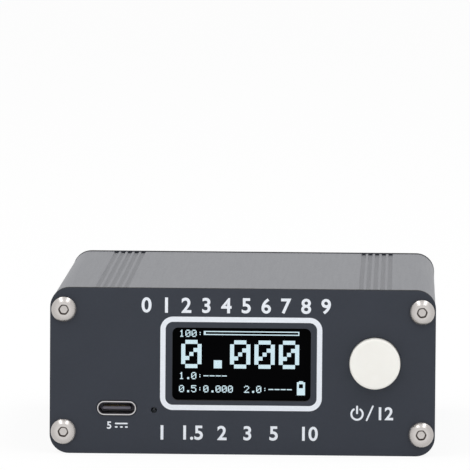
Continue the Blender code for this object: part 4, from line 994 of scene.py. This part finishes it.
seats = [(x, FRONT_FACE, z, -1.0, 8.0 * MM) for x, z in PANEL_SCREWS]
seats += [(x, REAR_FACE, z, 1.0, 8.0 * MM) for x, z in PANEL_SCREWS]
seats += [(x, FLANGE_FACE, z, 1.0, 7.1 * MM) for x, z in FLANGE_SCREWS]
seat_points = bpy.data.meshes.new("seat_points")
seat_points.from_pydata([seat[:3] for seat in seats], [], [])
directions = seat_points.attributes.new("outward", "FLOAT_VECTOR", "POINT")
for i, seat in enumerate(seats):
    directions.data[i].vector = (0.0, seat[3], 0.0)
mark_points(seat_points, "length", [seat[4] for seat in seats])
screw_mesh = grown(seat_points, screw_tree, {
    "Head": screw_head, "Shank Radius": SHANK_RADIUS, "Seed": 7, "Material": stainless,
})
bpy.data.objects.remove(screw_head)
screw_nodes = [f"{side}_panel_screw_{i}" for side in ("front", "rear") for i in range(1, 5)]
screw_nodes += [f"{side}_flange_screw_{i}" for side in ("tx", "ant") for i in range(1, 5)]
add_piece("button_head_screws", screw_mesh, stainless, "steel_fastener", *screw_nodes)
paint(stainless, *[f"{side}_flange_nut_{i}" for side in ("tx", "ant") for i in range(1, 5)])


# Coaxial sockets
# Two sockets of the UHF kind: a brass body turned with a square flange and a 5/8 inch
# thread, nickel plated, round a white PTFE insulator and a slotted gold plated contact.
FLANGE_WIDTH = 25.4 * MM
FLANGE_CORNER = 1.2 * MM
FLANGE_BACK = 51.62 * MM
BARREL_RADIUS = 7.9 * MM
THREAD_ROOT = 7.3 * MM
THREAD_PITCH = 25.4 * MM / 24
THREAD_START = 54.6 * MM
THREAD_TURNS = 9.6
SOCKET_MOUTH = 66.2 * MM
SOCKET_BORE = 6.1 * MM
BOSS_END = 47.5 * MM
NOTCH_WIDTH = 1.4 * MM
NOTCH_DEPTH = 1.0 * MM
INSULATOR_FACE = 64.4 * MM


def block_shape(low, high):
    """A plain block between two corners."""
    shape = bmesh.new()
    bmesh.ops.create_cube(shape, size=1.0)
    for vertex in shape.verts:
        vertex.co = [low[i] + (vertex.co[i] + 0.5) * (high[i] - low[i]) for i in range(3)]
    return shape


def cut(name, body, tools, sharp_angle=30.0):
    """A shape with tools cut out of it."""
    mesh = clean_mesh(name, body)
    source = in_scene(name, mesh)
    cutters = []
    for tool in tools:
        cutter = in_scene("cutter", clean_mesh("cutter", tool))
        cutters.append(cutter)
        modifier = source.modifiers.new("cut", "BOOLEAN")
        modifier.operation = "DIFFERENCE"
        modifier.solver = "EXACT"
        modifier.object = cutter
    result = evaluated_mesh(source)
    for item in [source] + cutters:
        bpy.data.objects.remove(item)
    shape = bmesh.new()
    shape.from_mesh(result)
    return clean_mesh(name, shape, sharp_angle)


barrel = turned_shape([
    (SOCKET_MOUTH - 0.25 * MM, SOCKET_BORE), (SOCKET_MOUTH, SOCKET_BORE + 0.25 * MM),
    (SOCKET_MOUTH, THREAD_ROOT - 0.2 * MM), (SOCKET_MOUTH - 0.3 * MM, THREAD_ROOT + 0.1 * MM),
    (SOCKET_MOUTH - 1.1 * MM, THREAD_ROOT + 0.1 * MM), (SOCKET_MOUTH - 1.2 * MM, THREAD_ROOT),
    (54.5 * MM, THREAD_ROOT), (54.2 * MM, BARREL_RADIUS), (53.4 * MM, BARREL_RADIUS),
    (53.4 * MM, BARREL_RADIUS - 0.5 * MM), (51.7 * MM, BARREL_RADIUS - 0.5 * MM),
    (51.7 * MM, SOCKET_BOSS), (BOSS_END + 0.2 * MM, SOCKET_BOSS),
    (BOSS_END, SOCKET_BOSS - 0.2 * MM), (BOSS_END, 4.6 * MM), (52.5 * MM, 4.6 * MM),
    (52.5 * MM, SOCKET_BORE),
], 96, looped=True)
notch_reach = BARREL_RADIUS + 1.0 * MM
notch_floor = SOCKET_MOUTH - NOTCH_DEPTH
notch_top = SOCKET_MOUTH + 1.0 * MM
rim_notches = [
    block_shape((-notch_reach, notch_floor, -NOTCH_WIDTH / 2), (notch_reach, notch_top, NOTCH_WIDTH / 2)),
    block_shape((-NOTCH_WIDTH / 2, notch_floor, -notch_reach), (NOTCH_WIDTH / 2, notch_top, notch_reach)),
]
flange_outlines = [rounded_outline(0.0, 0.0, FLANGE_WIDTH, FLANGE_WIDTH, FLANGE_CORNER)]
flange_outlines.append(circle((0.0, 0.0), BARREL_RADIUS - 1.2 * MM))
for sx in (-1, 1):
    flange_outlines += [circle((sx * FLANGE_SCREW, sz * FLANGE_SCREW), SCREW_HOLE, 32) for sz in (-1, 1)]
socket_blank = joined("socket_blank", [
    cut("barrel", barrel, rim_notches),
    plate("flange", flange_outlines, FLANGE_BACK, FLANGE_FACE, 0.15 * MM),
])

# A ridge with the thread's section is swept along a helix round the barrel.
thread_tree, sizes = new_tree("socket_thread", {
    "Turns": "Float", "Pitch": "Float", "Root Radius": "Float", "Depth": "Float", "Start": "Float",
})
rise = add_node(thread_tree, "Math", {"operation": "MULTIPLY"}, {0: sizes["Turns"], 1: sizes["Pitch"]})
half_depth = add_node(thread_tree, "Math", {"operation": "MULTIPLY"}, {0: sizes["Depth"], 1: 0.5})
ridge_middle = add_node(thread_tree, "Math", {"operation": "ADD"}, {
    0: sizes["Root Radius"], 1: half_depth,
})
helix = add_node(thread_tree, "GeometryNodeCurveSpiral", None, {
    "Resolution": 72, "Rotations": sizes["Turns"], "Start Radius": ridge_middle,
    "End Radius": ridge_middle, "Height": rise,
})
upright = add_node(thread_tree, "GeometryNodeSetCurveNormal", {"mode": "Z_UP"}, {"Curve": helix})
ridge_base = add_node(thread_tree, "Math", {"operation": "MULTIPLY"}, {0: sizes["Pitch"], 1: 0.92})
ridge_crest = add_node(thread_tree, "Math", {"operation": "MULTIPLY"}, {0: sizes["Pitch"], 1: 0.16})
ridge_section = add_node(thread_tree, "GeometryNodeCurvePrimitiveQuadrilateral", {"mode": "TRAPEZOID"}, {
    "Height": sizes["Depth"], "Bottom Width": ridge_base, "Top Width": ridge_crest, "Offset": 0.0,
})
section_turned = add_node(thread_tree, "GeometryNodeTransform", None, {
    "Geometry": ridge_section, "Rotation": (0, 0, math.pi / 2),
})
ridge = add_node(thread_tree, "GeometryNodeCurveToMesh", None, {
    "Curve": upright, "Profile Curve": section_turned, "Fill Caps": True,
})
start = add_node(thread_tree, "CombineXYZ", None, {"Y": sizes["Start"]})
along_barrel = add_node(thread_tree, "GeometryNodeTransform", None, {
    "Geometry": ridge, "Translation": start, "Rotation": (-math.pi / 2, 0, 0),
})
threaded = add_node(thread_tree, "GeometryNodeJoinGeometry")
for part in (sizes["Geometry"], along_barrel):
    wire(threaded, {0: part})
end_tree(thread_tree, threaded, sizes["Material"])

# Nickel plate on turned brass: a warm, slightly yellow silver with tool marks round it.
nickel = plated_metal("nickel_plated_brass", "#C2BDB2", "#D3CEC4", 0.24)
socket_thread = grown(socket_blank, thread_tree, {
    "Turns": THREAD_TURNS, "Pitch": THREAD_PITCH, "Root Radius": THREAD_ROOT - 0.1 * MM,
    "Depth": BARREL_RADIUS - THREAD_ROOT + 0.1 * MM, "Start": THREAD_START, "Material": nickel,
})

# PTFE turned from rod: waxy, even, milk white.
ptfe = moulded_plastic("turned_white_ptfe", "#E4E4E1", "#EEEEEB", 0.4, 0.3 * MM)
insulator_profile = [(INSULATOR_FACE, 5.7 * MM), (INSULATOR_FACE - 0.15 * MM, 5.85 * MM)]
insulator_profile += [(52.8 * MM, 5.85 * MM), (52.8 * MM, 4.3 * MM), (46.9 * MM, 4.3 * MM)]
insulator_profile += [(46.9 * MM, 2.3 * MM), (49.7 * MM, 2.3 * MM), (49.7 * MM, 2.75 * MM)]
insulator_profile += [(INSULATOR_FACE, 2.75 * MM)]
contact_profile = [(53.4 * MM, 0), (53.4 * MM, 2.0 * MM), (INSULATOR_FACE - 0.2 * MM, 2.0 * MM)]
contact_profile += [(INSULATOR_FACE, 2.2 * MM), (INSULATOR_FACE, 2.5 * MM)]
contact_profile += [(INSULATOR_FACE - 0.1 * MM, 2.6 * MM)]
contact_profile += [(50.0 * MM, 2.6 * MM), (50.0 * MM, 2.0 * MM), (42.7 * MM, 2.0 * MM), (42.7 * MM, 0)]
slot_reach = 4.0 * MM
slot_floor = INSULATOR_FACE - 6.0 * MM
slot_top = INSULATOR_FACE + 1.0 * MM
SLOT_HALF = 0.2 * MM
for prefix, socket_x in (("tx", -SOCKET_X), ("ant", SOCKET_X)):
    in_place = Matrix.Translation((socket_x, 0, MID_HEIGHT))
    body_mesh = socket_thread.copy()
    body_mesh.transform(in_place)
    body_mesh.shade_smooth()
    body_mesh.set_sharp_from_angle(angle=math.radians(30.0))
    add_piece(prefix + "_threaded_socket", body_mesh, nickel, "nickel", prefix + "_socket_body")

    insulator_shape = turned_shape(insulator_profile, 72, looped=True)
    insulator_mesh = clean_mesh(prefix + "_insulator", moved(insulator_shape, x=socket_x, z=MID_HEIGHT))
    add_piece(prefix + "_insulator", insulator_mesh, ptfe, "ptfe", prefix + "_socket_insulator")

    contact_slots = [
        block_shape((-slot_reach, slot_floor, -SLOT_HALF), (slot_reach, slot_top, SLOT_HALF)),
        block_shape((-SLOT_HALF, slot_floor, -slot_reach), (SLOT_HALF, slot_top, slot_reach)),
    ]
    contact_mesh = cut(prefix + "_slotted_contact", turned_shape(contact_profile, 48), contact_slots)
    contact_mesh.transform(in_place)
    contact_name = prefix + "_slotted_contact"
    add_piece(contact_name, contact_mesh, hard_gold, "gold", prefix + "_socket_contact")


# Display boards and pin headers
# The display's own small board is blue, and the upright board behind it green. Two pin
# headers, black bars with square gilt pins, join them to each other and to the main board.


# Printed circuit board: glossy solder mask over copper tracks, which show through it as
# paler lines, on yellow-brown laminate that is bare at the routed edges.
def circuit_board(name, mask_deep, mask_pale, over_copper, turn, pitch=2.2 * MM):
    """A masked board whose tracks run in the plane that turn brings to XY."""
    finish, tree, shader, place = new_finish(name, {"Roughness": 0.3, "Specular IOR Level": 0.5})
    in_plane = add_node(tree, "Mapping", None, {"Vector": place, "Rotation": turn})
    tracks = add_node(tree, "TexBrick", {"offset": 0.37, "squash": 0.6, "squash_frequency": 3}, {
        "Vector": in_plane, "Color1": (0.0, 0.0, 0.0, 1.0), "Color2": (0.0, 0.0, 0.0, 1.0),
        "Mortar": (1.0, 1.0, 1.0, 1.0), "Scale": 1.0, "Mortar Size": 0.14 * MM,
        "Brick Width": 4.0 * pitch, "Row Height": pitch,
    })
    mask_tone = mottle(tree, place, 0.5 * MM, 2.0, mask_deep, mask_pale)
    tracked = add_node(tree, "Mix", {"data_type": "RGBA"}, {0: tracks, 6: mask_tone, 7: over_copper})
    normal = add_node(tree, "NewGeometry").outputs["Normal"]
    turned_normal = add_node(tree, "Mapping", {"vector_type": "NORMAL"}, {
        "Vector": normal, "Rotation": turn,
    })
    parts = add_node(tree, "SeparateXYZ", None, {0: turned_normal})
    flatness = add_node(tree, "Math", {"operation": "ABSOLUTE"}, {0: parts.outputs["Z"]})
    at_edge = add_node(tree, "Math", {"operation": "LESS_THAN"}, {0: flatness, 1: 0.5})
    whole = add_node(tree, "Mix", {"data_type": "RGBA"}, {0: at_edge, 6: tracked, 7: "#A8945A"})
    step = add_node(tree, "Bump", None, {"Strength": 0.5, "Distance": 0.035 * MM, "Height": tracks})
    wire(shader, {"Base Color": whole, "Normal": step})
    return finish


UPRIGHT = (-math.pi / 2, 0, 0)
LYING = (0, 0, 0)
blue_board = circuit_board("blue_masked_board", "#143A6E", "#184380", "#2C62A4", UPRIGHT)
green_upright = circuit_board("green_masked_upright_board", "#0F4A2C", "#135634", "#2E7D50", UPRIGHT)
paint(blue_board, "oled_module_board")
paint(green_upright, "display_board")


# Pin header: a bar of matt black glass filled nylon, and pins of gilt brass that stand out
# of it at both ends, told apart by their place along Y.
def pin_header(name, bar_middle, bar_half):
    """Black within the bar's length, gold beyond it."""
    finish, tree, shader, place = new_finish(name, {})
    nylon = mottle(tree, place, 0.25 * MM, 3.0, "#18181A", "#242427")
    gilt = mottle(tree, place, 0.25 * MM, 3.0, "#CFAE58", "#E2C26C")
    along = add_node(tree, "SeparateXYZ", None, {0: place})
    from_bar = add_node(tree, "Math", {"operation": "SUBTRACT"}, {0: along.outputs["Y"], 1: bar_middle})
    off_bar = add_node(tree, "Math", {"operation": "ABSOLUTE"}, {0: from_bar})
    is_pin = add_node(tree, "Math", {"operation": "GREATER_THAN"}, {0: off_bar, 1: bar_half})
    tone = add_node(tree, "Mix", {"data_type": "RGBA"}, {0: is_pin, 6: nylon, 7: gilt})
    gloss = add_node(tree, "MapRange", None, {0: is_pin, 3: 0.55, 4: 0.25})
    wire(shader, {"Base Color": tone, "Metallic": is_pin, "Roughness": gloss})
    return finish


paint(pin_header("oled_pin_header", -45.325 * MM, 0.99 * MM), "oled_header")
paint(pin_header("board_pin_header", -40.9 * MM, 1.26 * MM), "board_header")


# Main board and its chips
# A green board 1.2 mm thick lies in the slots of the lower case half. It carries the
# processor, the charging chip, and the charging light behind its pinhole.
green_board = circuit_board("green_masked_main_board", "#0F4A2C", "#135634", "#2E7D50", LYING, 2.8 * MM)
paint(green_board, "main_board")

# Moulded epoxy chip: near black, dull, with the fine sparkle of its silica filler.
chip_epoxy = moulded_plastic("moulded_black_chip_epoxy", "#1E1F21", "#2A2B2D", 0.6, 0.15 * MM)
paint(chip_epoxy, "microcontroller", "charge_chip")

# Cast epoxy lens of the unlit charging light: smoky and water clear, with a smooth skin.
lens, tree, shader, place = new_finish("cast_smoky_epoxy_lens", {
    "Roughness": 0.3, "IOR": 1.52, "Specular IOR Level": 0.2,
})
lens_tone = mottle(tree, place, 0.6 * MM, 2.0, "#717780", "#838992")
wire(shader, {"Base Color": lens_tone})
paint(lens, "charge_led")


# Battery
# A flat lithium cell in a pouch of aluminium foil, wrapped at its lead end with amber
# polyimide tape, with a red and a black lead to a white plug on the main board.
TAPE_END = -24.0 * MM
pouch, tree, shader, place = new_finish("laminated_foil_pouch_and_amber_tape", {})
foil_creases = add_node(tree, "TexNoise", None, {
    "Vector": place, "Scale": 1 / (5.0 * MM), "Detail": 5.0, "Distortion": 1.2,
})
foil_tone = add_node(tree, "Mix", {"data_type": "RGBA"}, {0: foil_creases, 6: "#A9ABAE", 7: "#C6C8CB"})
tape_tone = mottle(tree, place, 1.2 * MM, 2.0, "#B5751F", "#C98A33")
cell_place = add_node(tree, "SeparateXYZ", None, {0: place})
under_tape = add_node(tree, "Math", {"operation": "LESS_THAN"}, {0: cell_place.outputs["Y"], 1: TAPE_END})
pouch_tone = add_node(tree, "Mix", {"data_type": "RGBA"}, {0: under_tape, 6: foil_tone, 7: tape_tone})
pouch_metal = add_node(tree, "MapRange", None, {0: under_tape, 3: 0.85, 4: 0.0})
pouch_gloss = add_node(tree, "MapRange", None, {0: foil_creases, 3: 0.28, 4: 0.42})
crease_bump = add_node(tree, "Bump", None, {
    "Strength": 0.5, "Distance": 0.1 * MM, "Height": foil_creases,
})
wire(shader, {
    "Base Color": pouch_tone, "Metallic": pouch_metal, "Roughness": pouch_gloss,
    "Normal": crease_bump,
})
paint(pouch, "battery_pack")

# Silicone rubber insulation, soft and slightly dusty, in red and in black.
red_silicone = moulded_plastic("red_silicone_insulation", "#A81616", "#B92020", 0.5, 0.3 * MM)
black_silicone = moulded_plastic("black_silicone_insulation", "#161617", "#1F1F21", 0.5, 0.3 * MM)
white_nylon = moulded_plastic("moulded_white_nylon", "#DCDAD2", "#E6E4DC", 0.5)
paint(red_silicone, "battery_lead_red")
paint(black_silicone, "battery_lead_black")
paint(white_nylon, "battery_plug", "battery_socket")


# Directional coupler
# Two ferrite rings wound with enamelled copper wire; the thick copper line between the
# sockets' contacts passes through both.
ferrite, tree, shader, place = new_finish("coated_ferrite", {"Roughness": 0.55})
ferrite_grain = add_node(tree, "TexVoronoi", {"feature": "F1"}, {"Vector": place, "Scale": 1 / (0.4 * MM)})
ferrite_tone = add_node(tree, "Mix", {"data_type": "RGBA"}, {
    0: ferrite_grain, 6: "#3A3B3E", 7: "#4C4E52",
})
ferrite_bump = add_node(tree, "Bump", None, {
    "Strength": 0.35, "Distance": 0.03 * MM, "Height": ferrite_grain,
})
wire(shader, {"Base Color": ferrite_tone, "Normal": ferrite_bump})
paint(ferrite, "coupler_core_forward", "coupler_core_reflected")

# Drawn copper wire in clear enamel: a red-brown metal under a glassy coat.
enamelled_copper = plated_metal("enamelled_copper_wire", "#9A4A22", "#B15C2E", 0.3)
wire(enamelled_copper.node_tree.nodes["Principled BSDF"], {"Coat Weight": 0.6, "Coat Roughness": 0.08})
paint(enamelled_copper, "coupler_winding_forward", "coupler_winding_reflected")

# Bare drawn copper: a pink-brown metal, dulled in patches by handling.
drawn_copper = plated_metal("bare_drawn_copper", "#B4704E", "#D08A66", 0.34)
paint(drawn_copper, "rf_line")
